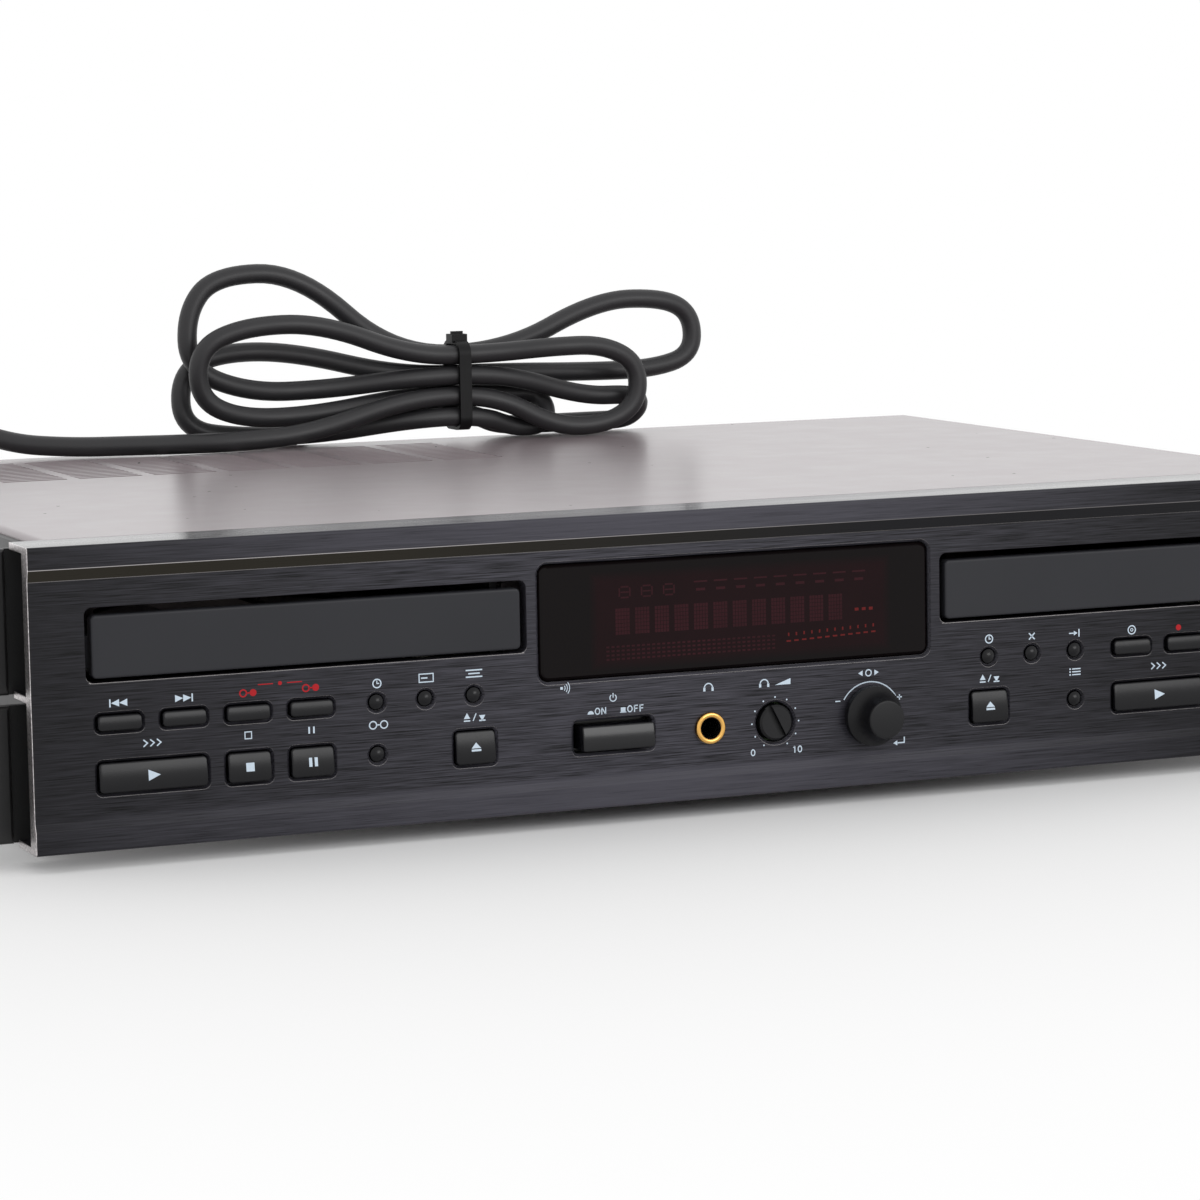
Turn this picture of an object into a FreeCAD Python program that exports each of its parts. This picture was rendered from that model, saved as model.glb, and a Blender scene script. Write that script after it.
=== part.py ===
"""Rack-mount CD recorder with two disc drawers, as a parametric document.

Every size is in millimetres and lives in the sheet "Sizes". The pieces are drawn in the front panel's
frame: X along the panel from its middle, Y into the housing from the panel's lips, Z up from the panel's
lower edge. Each finished piece is then placed with the middle of the four feet at the origin.
"""
import FreeCAD
import Part
import math
import os
import re

import Sketcher
from FreeCAD import Rotation, Vector

SIZES = {
    # front panel: an extruded plate with two lips and three webs
    "panel_width": 438, "panel_height": 88, "lip_plate": 6, "face_recess": 1.0, "lip_upper": 6.6,
    "bevel_upper": 3.3, "lip_lower": 6.9, "bevel_lower": 2.0, "lip_round": 0.8, "web_wall": 2.0,
    "web_depth": 19.5, "web_middle": 43.2,
    # housing
    "housing_width": 420, "housing_depth": 302, "sheet_wall": 1.2, "floor_level": 1.0, "flange_rise": 24,
    "fold_radius": 2.0, "cover_hem": 3.0, "cover_lap": 8.0, "fit_gap": 0.3, "side_gap": 0.2, "cover_front": 20,
    "gusset_depth": 58, "gusset_high": 84, "wall_window_low": 28, "wall_rail": 6,
    # vent slots in the cover
    "vent_pitch": 26, "vent_web": 4.0, "vent_columns": 8, "vent_right": 8.5, "vent_front": 210,
    "vent_rows": 14, "vent_row_pitch": 5.4, "vent_slot": 3.0,
    # rack ears
    "rack_width": 482.6, "ear_low": 0.8, "ear_high": 86, "ear_front": 20, "ear_pad": 2.0, "ear_wall": 2.5,
    "ear_flange": 52, "ear_slit_low": 40.7, "ear_slit": 3.2, "ear_pad_edge": 220.2, "ear_round": 2.0,
    "rack_hole_span": 465.1, "rack_hole_rise": 76.2, "rack_hole_radius": 3.5, "rack_hole_length": 12,
    # feet and screws
    "foot_height": 5, "foot_radius": 15, "foot_inset": 52, "foot_spread": 165, "foot_round": 1.2,
    "screw_radius": 1.5, "screw_head_radius": 3.2, "screw_head": 1.8, "screw_grip": 5, "screw_play": 0.15,
    "side_screw_level": 14, "side_screw_first": 110, "side_screw_pitch": 150, "rear_screw_level": 84,
    "rear_screw_spread": 180, "ear_screw_first": 34, "ear_screw_pitch": 26, "ear_screw_low": 14,
    "ear_screw_rise": 56,
    # drawers
    "door_width": 130.6, "door_height": 18.2, "door_low": 49.5, "door_middle": 135.6, "door_wall": 4.0,
    "door_round": 1.5, "door_proud": 0.2, "door_edge": 0.8, "window_gap": 1.9, "window_gap_low": 1.2,
    "window_gap_high": 2.3, "window_round": 2.3,
    "tray_width": 126, "tray_length": 188, "tray_plate": 1.8, "tray_low": 51.2, "tray_high": 60.2,
    "tray_wall": 1.6, "well_radius": 61, "well_depth": 2.6, "well_middle": 80, "inner_radius": 41,
    "inner_depth": 1.0, "pickup_slot": 34, "drawer_travel": 145,
    "rack_module": 1.0, "rack_offset": 54, "gear_teeth": 16, "gear_y": 34, "pressure_angle": 20,
    "gear_play": 0.12, "gear_bore": 1.5, "shaft_play": 0.05, "finger_radius": 11, "finger_spread": 38,
    "finger_reach": 49, "rack_start": 8, "rack_margin": 5, "rack_back": 4, "rack_foot": 1.15, "gear_hub": 4,
    "pulley_level": 41, "pulley_wall": 4, "pulley_radius": 13,
    # drive frames
    "drive_front": 21.5, "drive_length": 190, "drive_low": 30, "drive_wall": 2.2, "drive_gap": 0.5,
    "drive_high": 74, "bridge_wall": 1.5, "bridge_y": 58, "bridge_length": 44, "clamp_radius": 17,
    "turntable_radius": 15, "turntable_top": 48.5, "spindle_radius": 1.2, "motor_radius": 12,
    "loader_radius": 7, "motor_base": 2,
    "sled_width": 46, "sled_length": 30, "sled_height": 7, "sled_travel": 30, "rod_radius": 1.5,
    "rod_spread": 34, "rod_level": 39, "rod_start": 97, "rod_length": 66, "rod_block": 6, "rail_wall": 2.0,
    "rail_reach": 4.0, "post_inset": 12, "post_radius": 4, "bridge_level": 67, "clamp_neck": 5,
    "clamp_wall": 3, "motor_height": 12, "loader_reach": 26, "loader_y": 31, "turntable_wall": 2.0, "boss_radius": 7.3,
    "boss_rise": 2.2, "lens_radius": 4, "lens_rise": 2,
    # keys
    "key_pitch": 19.15, "key_first": 193.4, "key_width": 13.0, "key_round": 1.2, "key_gap": 0.3,
    "key_chamfer": 0.8, "key_stand": 1.2, "key_travel": 0.5, "key_flange": 1.0, "key_crown": 0.5,
    "small_key_level": 36.7, "small_key_height": 4.4, "large_key_level": 20.9, "large_key_height": 8.6,
    "open_key_x": 85.4, "open_key_level": 21.3, "open_key_width": 12.5, "open_key_height": 9.8,
    "dot_key_pitch": 15.2, "dot_key_radius": 2.2, "dot_key_upper": 36.9, "dot_key_lower": 21.5,
    "power_x": -41.0, "power_level": 21.6, "power_width": 23.2, "power_height": 7.4, "power_gap": 1.2,
    "power_stand": 4.6, "power_travel": 3.5,
    # display
    "display_width": 129.2, "display_low": 38.9, "display_height": 35.2, "display_round": 3.0,
    "display_wall": 2.5, "display_bevel": 1.0,
    # sockets and knobs of the middle
    "jack_x": -9.7, "jack_level": 21.5, "jack_bore": 3.25, "jack_ring": 4.7, "jack_stand": 1.0,
    "jack_depth": 26, "level_x": 12.2, "level_level": 21.6, "level_radius": 5.4, "level_sink": 6.2,
    "level_stand": 1.0, "jog_x": 44.2, "jog_level": 21.6, "jog_base_radius": 9.2, "jog_tip_radius": 5.95,
    "jog_stand": 12, "jog_skirt": 3.0, "jog_push": 0.8, "jog_shaft_radius": 3.0, "knob_floor": 2.0,
    "shaft_collar": 4.0, "collar_wall": 0.8,
    "jog_grip": 6.5, "jog_flare": 2.6, "knob_edge": 0.6, "level_shaft_radius": 2.0, "groove_width": 2.0,
    "groove_depth": 1.5, "groove_angle": 63,
    # boards
    "board_front": 13.4, "board_wall": 1.6, "board_half": 205, "board_low": 9, "board_high": 42.6,
    "switch_size": 6, "switch_stem": 1.6, "switch_rise": 1.8, "plunger_rise": 0.8, "plunger_size": 2,
    "power_stem": 1.0, "power_switch_depth": 18, "encoder_size": 13, "encoder_front": 8.6,
    "tube_front": 8.4, "main_board_y": 222, "main_board_length": 70,
    "main_board_width": 300, "main_board_level": 12, "main_board_shift": 20, "capacitor_radius": 8,
    "capacitor_rise": 30, "heat_sink_rise": 30, "winding_proud": 9, "trafo_width": 62,
    "trafo_height": 52, "trafo_y": 110, "trafo_stack": 24,
    # rear sockets and the lead's strain relief
    "socket_radius": 4.15, "socket_bore": 1.7, "socket_flange": 6.2, "socket_pitch": 15, "socket_level": 34,
    "socket_stand": 9, "socket_first": 60, "socket_block": 10, "socket_floor": 0.4,
    "relief_x": -165, "relief_level": 30, "relief_radius": 6.5, "relief_length": 26, "relief_tip": 4.8,
    "relief_flange": 9, "relief_ribs": 5,
    # lead: a tube, its tie at the hank's waist and its plug
    "cord_radius": 3.5, "waist_x": 19.5, "waist_y": 289, "waist_level": 97, "waist_row": 7.5,
    "waist_column": 7.8, "tie_width": 4.5, "tie_wall": 1.2, "tie_head": 6, "tie_stub": 1,
    "plug_width": 26, "plug_height": 13.6, "plug_length": 36, "plug_neck": 9, "plug_shoulder": 14,
    "pin_radius": 2.0, "pin_length": 19, "pin_spacing": 19,
}

doc = FreeCAD.newDocument("cd_recorder")
sheet = doc.addObject("Spreadsheet::Sheet", "Sizes")
for row, (alias, value) in enumerate(SIZES.items(), start=1):
    sheet.set(f"A{row}", alias)
    sheet.set(f"B{row}", str(value))
    sheet.setAlias(f"B{row}", alias)
doc.recompute()

NODES = []


def formula(text):
    """Text of an expression, with each word that is a size written as a cell of the sheet."""
    return re.sub(r"[a-z][a-z_]+", lambda word: "Sizes." + word[0] if word[0] in SIZES else word[0], str(text))


def size(text):
    """Number that an expression on the sheet gives."""
    values = {alias: float(sheet.get(alias)) for alias in re.findall(r"[a-z][a-z_]+", str(text))}
    tokens = re.sub(r"[a-z][a-z_]+", lambda word: repr(values[word[0]]), str(text))
    return float(FreeCAD.Units.Quantity(tokens).Value)


def bind(item, **properties):
    """Ties properties of an object to expressions; a double underscore stands for a dot."""
    for name, text in properties.items():
        item.setExpression(name.replace("__", "."), formula(text))


def put(item, x="0", y="0", z="0", turn=None):
    """Places an object at expressions, turned by a rotation."""
    if turn is not None:
        item.Placement.Rotation = turn
    bind(item, Placement__Base__x=x, Placement__Base__y=y, Placement__Base__z=z)
    return item


def block(x, y, z, length, depth, height):
    """Box by its low corner and its three sides."""
    item = doc.addObject("Part::Box", "Block")
    bind(item, Length=length, Width=depth, Height=height)
    return put(item, x, y, z)


ALONG = {"x": Rotation(Vector(0, 1, 0), 90), "y": Rotation(Vector(1, 0, 0), -90), "z": Rotation()}


def rod(x, y, z, radius, length, along="z"):
    """Cylinder from its foot, along one axis."""
    item = doc.addObject("Part::Cylinder", "Rod")
    bind(item, Radius=radius, Height=length)
    return put(item, x, y, z, ALONG[along])


def cone(x, y, z, foot, tip, length, along="z"):
    """Cone frustum from its foot, along one axis."""
    item = doc.addObject("Part::Cone", "Cone")
    bind(item, Radius1=foot, Radius2=tip, Height=length)
    return put(item, x, y, z, ALONG[along])


def join(*items):
    """One solid from items that touch or overlap."""
    item = doc.addObject("Part::MultiFuse", "Join")
    item.Shapes = list(items)
    item.Refine = True
    return item


def gather(*items):
    """Separate solids that share one node."""
    item = doc.addObject("Part::Compound", "Group")
    item.Links = list(items)
    return item


def cut(base, *tools):
    """Base without the tools."""
    item = doc.addObject("Part::Cut", "Cut")
    item.Base = base
    item.Tool = tools[0] if len(tools) == 1 else gather(*tools)
    return item


def solid(shape, name="Form"):
    """Object that holds a shape made by a formula."""
    item = doc.addObject("Part::Feature", name)
    item.Shape = shape
    return item


def node(label, item):
    """Names a finished piece and places it with the middle of the unit's foot print at the origin."""
    item.Label = label
    rear_end = "(housing_depth - sheet_wall + socket_stand)"
    put(item, "0", f"-({rear_end} + face_recess - jog_stand) / 2", "foot_height", item.Placement.Rotation)
    NODES.append(item)
    return item


def new_body(label):
    """Body whose own origin is the front panel's frame."""
    body = doc.addObject("PartDesign::Body", label + "_body")
    return body


def origin_plane(body, role):
    """One of a body's own origin planes."""
    return next(part for part in body.Origin.OriginFeatures if part.Role == role)


def sketch_on(body, role, offset="0"):
    """Empty sketch on an origin plane, moved along the plane's normal by an expression."""
    sketch = body.newObject("Sketcher::SketchObject", "Sketch")
    sketch.AttachmentSupport = [(origin_plane(body, role), "")]
    sketch.MapMode = "FlatFace"
    bind(sketch, AttachmentOffset__Base__z=offset)
    return sketch


def tie(sketch, kind, *where, to):
    """Adds a dimension to a sketch and binds it to an expression."""
    number = sketch.addConstraint(Sketcher.Constraint(kind, *where, size(to)))
    sketch.setExpression(f"Constraints[{number}]", formula(to))


def draw_outline(sketch, corners):
    """Closed run of straight lines whose corners lie at pairs of expressions."""
    points = [Vector(size(across), size(up), 0) for across, up in corners]
    count = len(points)
    for index in range(count):
        sketch.addGeometry(Part.LineSegment(points[index], points[(index + 1) % count]), False)
    for index in range(count):
        sketch.addConstraint(Sketcher.Constraint("Coincident", index, 2, (index + 1) % count, 1))
    for index, (across, up) in enumerate(corners):
        pin_point(sketch, index, 1, across, up)


def pin_point(sketch, element, end, across, up):
    """Ties a point of a sketch to expressions across and up from the sketch's origin."""
    for kind, text in (("DistanceX", across), ("DistanceY", up)):
        value = size(text)
        if abs(value) < 1e-9:
            on_axis = -2 if kind == "DistanceX" else -1
            sketch.addConstraint(Sketcher.Constraint("PointOnObject", element, end, on_axis))
        elif value > 0:
            tie(sketch, kind, -1, 1, element, end, to=text)
        else:
            tie(sketch, kind, element, end, -1, 1, to=f"-({text})")


def draw_rounded(sketch, across, up, width, height, radius):
    """Rectangle with round corners, centred at expressions across and up."""
    half_w, half_h, r = size(width) / 2, size(height) / 2, size(radius)
    middle = Vector(size(across), size(up), 0)
    first = sketch.GeometryCount
    corners = [(half_w - r, half_h - r, 0), (r - half_w, half_h - r, 90), (r - half_w, r - half_h, 180),
               (half_w - r, r - half_h, 270)]
    for dx, dy, start in corners:
        circle = Part.Circle(middle + Vector(dx, dy, 0), Vector(0, 0, 1), r)
        arc = Part.ArcOfCircle(circle, math.radians(start), math.radians(start + 90))
        sketch.addGeometry(arc, False)
    for index in range(4):
        start = sketch.getPoint(first + index, 2)
        stop = sketch.getPoint(first + (index + 1) % 4, 1)
        sketch.addGeometry(Part.LineSegment(start, stop), False)
    for index in range(4):
        line = first + 4 + index
        sketch.addConstraint(Sketcher.Constraint("Tangent", first + index, 2, line, 1))
        sketch.addConstraint(Sketcher.Constraint("Tangent", line, 2, first + (index + 1) % 4, 1))
        sketch.addConstraint(Sketcher.Constraint("Horizontal" if index % 2 == 0 else "Vertical", line))
    for index in (1, 2, 3):
        sketch.addConstraint(Sketcher.Constraint("Equal", first, first + index))
    tie(sketch, "Radius", first, to=radius)
    tie(sketch, "Distance", first + 4, 1, first + 6, to=height)
    tie(sketch, "Distance", first + 5, 1, first + 7, to=width)
    pin_point(sketch, first, 3, f"{across} + ({width}) / 2 - ({radius})", f"{up} + ({height}) / 2 - ({radius})")


def pad(body, sketch, length, midplane=False, reverse=False):
    """Solid grown from a sketch."""
    feature = body.newObject("PartDesign::Pad", "Pad")
    feature.Profile = sketch
    feature.Midplane = midplane
    feature.Reversed = reverse
    bind(feature, Length=length)
    return feature


def pocket(body, sketch, length=None, reverse=False):
    """Cut from a sketch: right through both ways, or to a depth on one side."""
    feature = body.newObject("PartDesign::Pocket", "Pocket")
    feature.Profile = sketch
    feature.Reversed = reverse
    if length is None:
        feature.Type = "ThroughAll"
        feature.Midplane = True
    else:
        bind(feature, Length=length)
    return feature


def edges_where(feature, test):
    """Names of a feature's edges whose bounding box passes a test."""
    return [f"Edge{n}" for n, edge in enumerate(feature.Shape.Edges, start=1) if test(edge.BoundBox)]


def soften(body, base, kind, amount, test):
    """Fillet or chamfer on the edges of the last feature that pass a test."""
    doc.recompute()
    feature = body.newObject("PartDesign::" + kind, kind)
    feature.Base = (base, edges_where(base, test))
    bind(feature, **{"Radius" if kind == "Fillet" else "Size": amount})
    body.Tip = feature
    return feature


# control layout: each entry gives the place and the size of one opening, as expressions

def small_key_x(side, place):
    """Middle of a small key: the left block starts at the panel's end, the right one at the display."""
    first = "-key_first" if side < 0 else "key_first - 3 * key_pitch"
    return f"{first} + {place} * key_pitch"


def key_plan():
    """Every rectangular key: name, x, level, width and height."""
    plan = []
    rows = {-1: ("previous_key_left", "next_key_left", "copy_key", "copy_fast_key"),
            1: ("finalize_key", "record_key", "previous_key_right", "next_key_right")}
    for side, names in rows.items():
        tag = "left" if side < 0 else "right"
        for place, name in enumerate(names):
            plan.append((name, small_key_x(side, place), "small_key_level", "key_width", "small_key_height"))
        wide = "key_width + key_pitch"
        plan.append((f"play_key_{tag}", small_key_x(side, 0.5), "large_key_level", wide, "large_key_height"))
        plan.append((f"stop_key_{tag}", small_key_x(side, 2), "large_key_level", "key_width",
                     "large_key_height"))
        plan.append((f"pause_key_{tag}", small_key_x(side, 3), "large_key_level", "key_width",
                     "large_key_height"))
        plan.append((f"open_key_{tag}", f"{side} * open_key_x", "open_key_level", "open_key_width",
                     "open_key_height"))
    return plan


def dot_key_plan():
    """Every small round key: name, x and level."""
    plan = []
    for side, tag in ((-1, "left"), (1, "right")):
        for place in range(3):
            x = f"{side} * (open_key_x + {place} * dot_key_pitch)"
            plan.append((f"round_key_{tag}_{place + 1}", x, "dot_key_upper"))
        plan.append((f"round_key_{tag}_4", f"{side} * (open_key_x + 2 * dot_key_pitch)", "dot_key_lower"))
    return plan


def window_plan():
    """Drawer windows: side, x, level, width and height."""
    width = "door_width + 2 * window_gap"
    height = "door_height + window_gap_low + window_gap_high"
    level = "door_low + door_height / 2 + (window_gap_high - window_gap_low) / 2"
    return [(side, f"{side} * door_middle", level, width, height) for side in (-1, 1)]


def front_panel():
    """Extruded panel: an E-shaped section with lips, cut through for every control."""
    body = new_body("front_panel")
    section = sketch_on(body, "YZ_Plane")
    draw_outline(section, [
        ("0", "0"), ("0", "lip_lower"), ("face_recess", "lip_lower + bevel_lower"),
        ("face_recess", "panel_height - lip_upper - bevel_upper"), ("0", "panel_height - lip_upper"),
        ("0", "panel_height"), ("web_depth", "panel_height"), ("web_depth", "panel_height - web_wall"),
        ("lip_plate", "panel_height - web_wall"), ("lip_plate", "web_middle + web_wall"),
        ("web_depth", "web_middle + web_wall"), ("web_depth", "web_middle"), ("lip_plate", "web_middle"),
        ("lip_plate", "web_wall"), ("web_depth", "web_wall"), ("web_depth", "0")])
    pad(body, section, "panel_width", midplane=True)
    openings = sketch_on(body, "XZ_Plane")
    for side, x, level, width, height in window_plan():
        draw_rounded(openings, x, level, width, height, "window_round")
    draw_rounded(openings, "0", "display_low + display_height / 2", "display_width", "display_height",
                 "display_round")
    windows = pocket(body, openings)
    for name, x, level, width, height in key_plan():
        hole = sketch_on(body, "XZ_Plane")
        draw_rounded(hole, x, level, f"{width} + 2 * key_gap", f"{height} + 2 * key_gap",
                     "key_round + key_gap")
        windows = pocket(body, hole)
    hole = sketch_on(body, "XZ_Plane")
    draw_rounded(hole, "power_x", "power_level", "power_width + 2 * power_gap",
                 "power_height + 2 * power_gap", "key_round + key_gap")
    windows = pocket(body, hole)
    rounds = sketch_on(body, "XZ_Plane")
    for name, x, level in dot_key_plan():
        draw_circle(rounds, x, level, "dot_key_radius + key_gap")
    draw_circle(rounds, "jack_x", "jack_level", "jack_ring + shaft_play")
    draw_circle(rounds, "level_x", "level_level", "level_sink")
    draw_circle(rounds, "jog_x", "jog_level", "jog_shaft_radius + 2 * key_gap")
    holes = pocket(body, rounds)
    face = size("face_recess")
    half = size("panel_width") / 2

    def mouth(box):
        """Edges of the openings on the panel's main face."""
        flat = abs(box.YMin - face) < 1e-4 and abs(box.YMax - face) < 1e-4
        long_edge = box.XLength > half
        end_edge = abs(abs(box.XMin) - half) < 1e-4 and box.XLength < 1e-4
        display = abs(box.XMin) < size("display_width") / 2 + 1e-3 and box.ZMax > size("web_middle") + 1
        window = box.ZMax > size("web_middle") + 1
        jack = abs(box.Center.x - size("jack_x")) < size("jack_ring")
        return flat and not (long_edge or end_edge or display or window or jack)

    mouths = soften(body, holes, "Chamfer", "key_chamfer", mouth)

    def lip(box):
        """The panel's long front edges, top and bottom."""
        level = min(abs(box.ZMin), abs(box.ZMin - size("panel_height")))
        return box.XLength > half and abs(box.YMax) < 1e-4 and level < 1e-4 and box.ZLength < 1e-4

    soften(body, mouths, "Fillet", "lip_round", lip)
    return node("front_panel", gather(*panel_bars(body)))


def panel_bars(body):
    """The panel as the bars round its drawer windows, which meet face to face."""
    side, x, level, width, height = window_plan()[0]
    low, high = f"({level} - ({height}) / 2)", f"({level} + ({height}) / 2)"
    zones = [("-panel_width / 2", "panel_width / 2", "0", low),
             ("-panel_width / 2", "panel_width / 2", high, "panel_height")]
    post = "(display_width / 2 + key_pitch / 2)"
    outer = "(panel_width / 2 - key_pitch)"
    for left, right in (("-panel_width / 2", f"-{outer}"), (f"-{post}", "0"), ("0", post),
                        (outer, "panel_width / 2")):
        zones.append((left, right, low, high))
    bars = []
    for left, right, foot, top in zones:
        zone = block(left, "-1", foot, f"{right} - ({left})", "web_depth + 2", f"{top} - {foot}")
        bar = doc.addObject("Part::Common", "Bar")
        bar.Base, bar.Tool = body, zone
        bars.append(bar)
    return bars


def draw_circle(sketch, across, up, radius):
    """Circle centred at expressions across and up."""
    circle = Part.Circle(Vector(size(across), size(up), 0), Vector(0, 0, 1), size(radius))
    number = sketch.addGeometry(circle, False)
    tie(sketch, "Radius", number, to=radius)
    pin_point(sketch, number, 3, across, up)


def key_cap(label, x, level, width, height, stand, reach, crown):
    """Moulded key: crowned cap, a flange that keeps it behind the panel and a stem for its switch."""
    body = new_body(label)
    side = sketch_on(body, "YZ_Plane", x)
    front = f"face_recess - {stand}"
    draw_outline(side, [
        (front, f"{level} - {height} / 2 + {crown}"), (front, f"{level} + {height} / 2 - 2 * {crown}"),
        (f"{front} + {crown}", f"{level} + {height} / 2"),
        ("lip_plate + key_gap", f"{level} + {height} / 2"),
        ("lip_plate + key_gap", f"{level} - {height} / 2"),
        (f"{front} + {crown} / 2", f"{level} - {height} / 2")])
    cap = pad(body, side, width, midplane=True)
    upright = size(width) / 2

    def corner(box):
        """The cap's corner edges along its travel."""
        inner = abs(abs(box.Center.x - size(x)) - upright) < 1e-3 and box.XLength < 1e-3
        return inner and box.YLength > size("lip_plate") / 2 and box.ZLength < 1e-3

    soften(body, cap, "Fillet", "key_round", corner)
    flange = sketch_on(body, "XZ_Plane", "-(lip_plate + key_gap)")
    draw_rounded(flange, x, level, f"{width} + 2 * (key_gap + key_flange)",
                 f"{height} + 2 * (key_gap + key_flange)", "key_round")
    pad(body, flange, "key_flange", reverse=True)
    stem = sketch_on(body, "XZ_Plane", "-(lip_plate + key_gap + key_flange)")
    draw_circle(stem, x, level, "switch_stem")
    pad(body, stem, f"{reach} - lip_plate - key_gap - key_flange", reverse=True)
    return node(label, body)


SWITCH_FACE = "board_front - switch_rise - plunger_rise"


def keys():
    """The rectangular keys, the latching power key and the round keys."""
    reach = f"{SWITCH_FACE} - key_travel - key_gap"
    for name, x, level, width, height in key_plan():
        key_cap(name, x, level, width, height, "key_stand", reach, "key_crown")
    key_cap("power_key", "power_x", "power_level", "power_width", "power_height", "power_stand",
            "lip_plate + key_gap + key_flange + power_stem", "key_crown")
    for name, x, level in dot_key_plan():
        body = new_body(name)
        half = sketch_on(body, "YZ_Plane", x)
        tip = "face_recess - key_stand / 2"
        draw_outline(half, [
            (tip, level), (tip, f"{level} + dot_key_radius - key_crown"),
            (f"{tip} + key_crown", f"{level} + dot_key_radius"),
            ("lip_plate + key_gap", f"{level} + dot_key_radius"),
            ("lip_plate + key_gap", f"{level} + dot_key_radius + key_gap + key_flange"),
            ("lip_plate + key_gap + key_flange", f"{level} + dot_key_radius + key_gap + key_flange"),
            ("lip_plate + key_gap + key_flange", f"{level} + switch_stem"),
            (reach, f"{level} + switch_stem"), (reach, level)])
        turned = body.newObject("PartDesign::Revolution", "Turned")
        turned.Profile = half
        turned.ReferenceAxis = (half, ["Edge9"])
        turned.Angle = 360
        node(name, body)


def turned(body, outline, x, level):
    """Solid of revolution in a body, about an axis along Y; the outline gives y and radius, axis first."""
    half = sketch_on(body, "YZ_Plane", x)
    draw_outline(half, [(y, level if radius == "0" else f"{level} + {radius}") for y, radius in outline])
    spun = body.newObject("PartDesign::Revolution", "Turned")
    spun.Profile = half
    spun.ReferenceAxis = (half, [f"Edge{len(outline)}"])
    spun.Angle = 360
    return spun


def display_window():
    """Smoked window: a bevelled front in the panel's opening and a lip above and below behind it."""
    body = new_body("display_window")
    level = "display_low + display_height / 2"
    outline = sketch_on(body, "XZ_Plane", "-face_recess")
    draw_rounded(outline, "0", level, "display_width - 2 * key_gap", "display_height - 2 * key_gap",
                 "display_round - key_gap")
    pane = pad(body, outline, "lip_plate + key_gap - face_recess", reverse=True)
    face = size("face_recess")
    pane = soften(body, pane, "Chamfer", "display_bevel",
                  lambda box: abs(box.YMin - face) < 1e-4 and abs(box.YMax - face) < 1e-4)
    lip = sketch_on(body, "XZ_Plane", "-(lip_plate + key_gap)")
    draw_rounded(lip, "0", level, "display_width - 4 * display_round", "display_height + 2 * display_wall",
                 "display_round")
    pad(body, lip, "display_wall / 2", reverse=True)
    return node("display_window", body)


RACK_LOW = "tray_low"
RACK_RISE = "(tray_high - well_depth - inner_depth - tray_plate - tray_low)"
DOOR_FRONT = "face_recess - door_proud"
TRAY_FRONT = "(face_recess - door_proud + door_wall)"


def tray_door(side, tag):
    """Drawer front: a plain bar with softened edges."""
    body = new_body(f"tray_door_{tag}")
    outline = sketch_on(body, "XZ_Plane", f"-({DOOR_FRONT})")
    draw_rounded(outline, f"{side} * door_middle", "door_low + door_height / 2", "door_width", "door_height",
                 "door_round")
    bar = pad(body, outline, "door_wall", reverse=True)
    front = size(DOOR_FRONT)
    soften(body, bar, "Chamfer", "door_edge", lambda box: box.YMax < front + 1e-4)
    return node(f"tray_door_{tag}", body)


def tray_rack(side):
    """Straight row of teeth under the tray, along its travel, facing the gear."""
    module, play = size("rack_module"), size("gear_play")
    line = size(f"{side} * door_middle + rack_offset")
    start = size(TRAY_FRONT) + size("rack_start")
    count = int(round((size("tray_length") - size("rack_start") - size("rack_margin")) / (math.pi * module)))
    first = size("gear_y") - math.pi * module * round((size("gear_y") - start) / (math.pi * module))
    slope = math.tan(math.radians(size("pressure_angle")))
    foot = module * size("rack_foot")
    half = math.pi * module / 4 - play / 2
    points = []
    for tooth in range(count):
        y = first + tooth * math.pi * module
        low, high = half + foot * slope, half - module * slope
        points += [(line + foot, y - low), (line - module, y - high), (line - module, y + high),
                   (line + foot, y + low)]
    back = line + size("rack_back")
    points += [(back, points[-1][1]), (back, points[0][1])]
    level = size(RACK_LOW)
    face = Part.Face(Part.makePolygon([Vector(x, y, level) for x, y in points + points[:1]]))
    return solid(face.extrude(Vector(0, 0, size(RACK_RISE))), "Rack")


def disc_tray(side, tag):
    """Disc tray: hollow underneath, with a well for two disc sizes, a pickup slot and the rack."""
    middle = f"{side} * door_middle"
    plate_low = "tray_high - well_depth - inner_depth - tray_plate"
    outer = block(f"{middle} - tray_width / 2", TRAY_FRONT, "tray_low", "tray_width", "tray_length",
                  "tray_high - tray_low")
    hollow = block(f"{middle} - tray_width / 2 + tray_wall", f"{TRAY_FRONT} + tray_wall", "tray_low - 1",
                   "tray_width - 2 * tray_wall", "tray_length - 2 * tray_wall", f"{plate_low} - tray_low + 1")
    well = rod(middle, "well_middle", "tray_high - well_depth", "well_radius", "well_depth + 1")
    inner = rod(middle, "well_middle", "tray_high - well_depth - inner_depth", "inner_radius",
                "well_depth + 1")
    hub = rod(middle, "well_middle", "tray_low", "pickup_slot / 2", "tray_high - tray_low + 1")
    slot = block(f"{middle} - pickup_slot / 2", "well_middle", "tray_low", "pickup_slot",
                 "inner_radius + pickup_slot / 2", "tray_high - tray_low + 1")
    notches = [rod(f"{middle} + {hand} * finger_spread", "well_middle - finger_reach",
                   "tray_high - well_depth", "finger_radius", "well_depth + 1") for hand in (-1, 1)]
    body = cut(outer, hollow, well, inner, hub, slot, *notches)
    return node(f"disc_tray_{tag}", join(body, tray_rack(side)))


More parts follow.
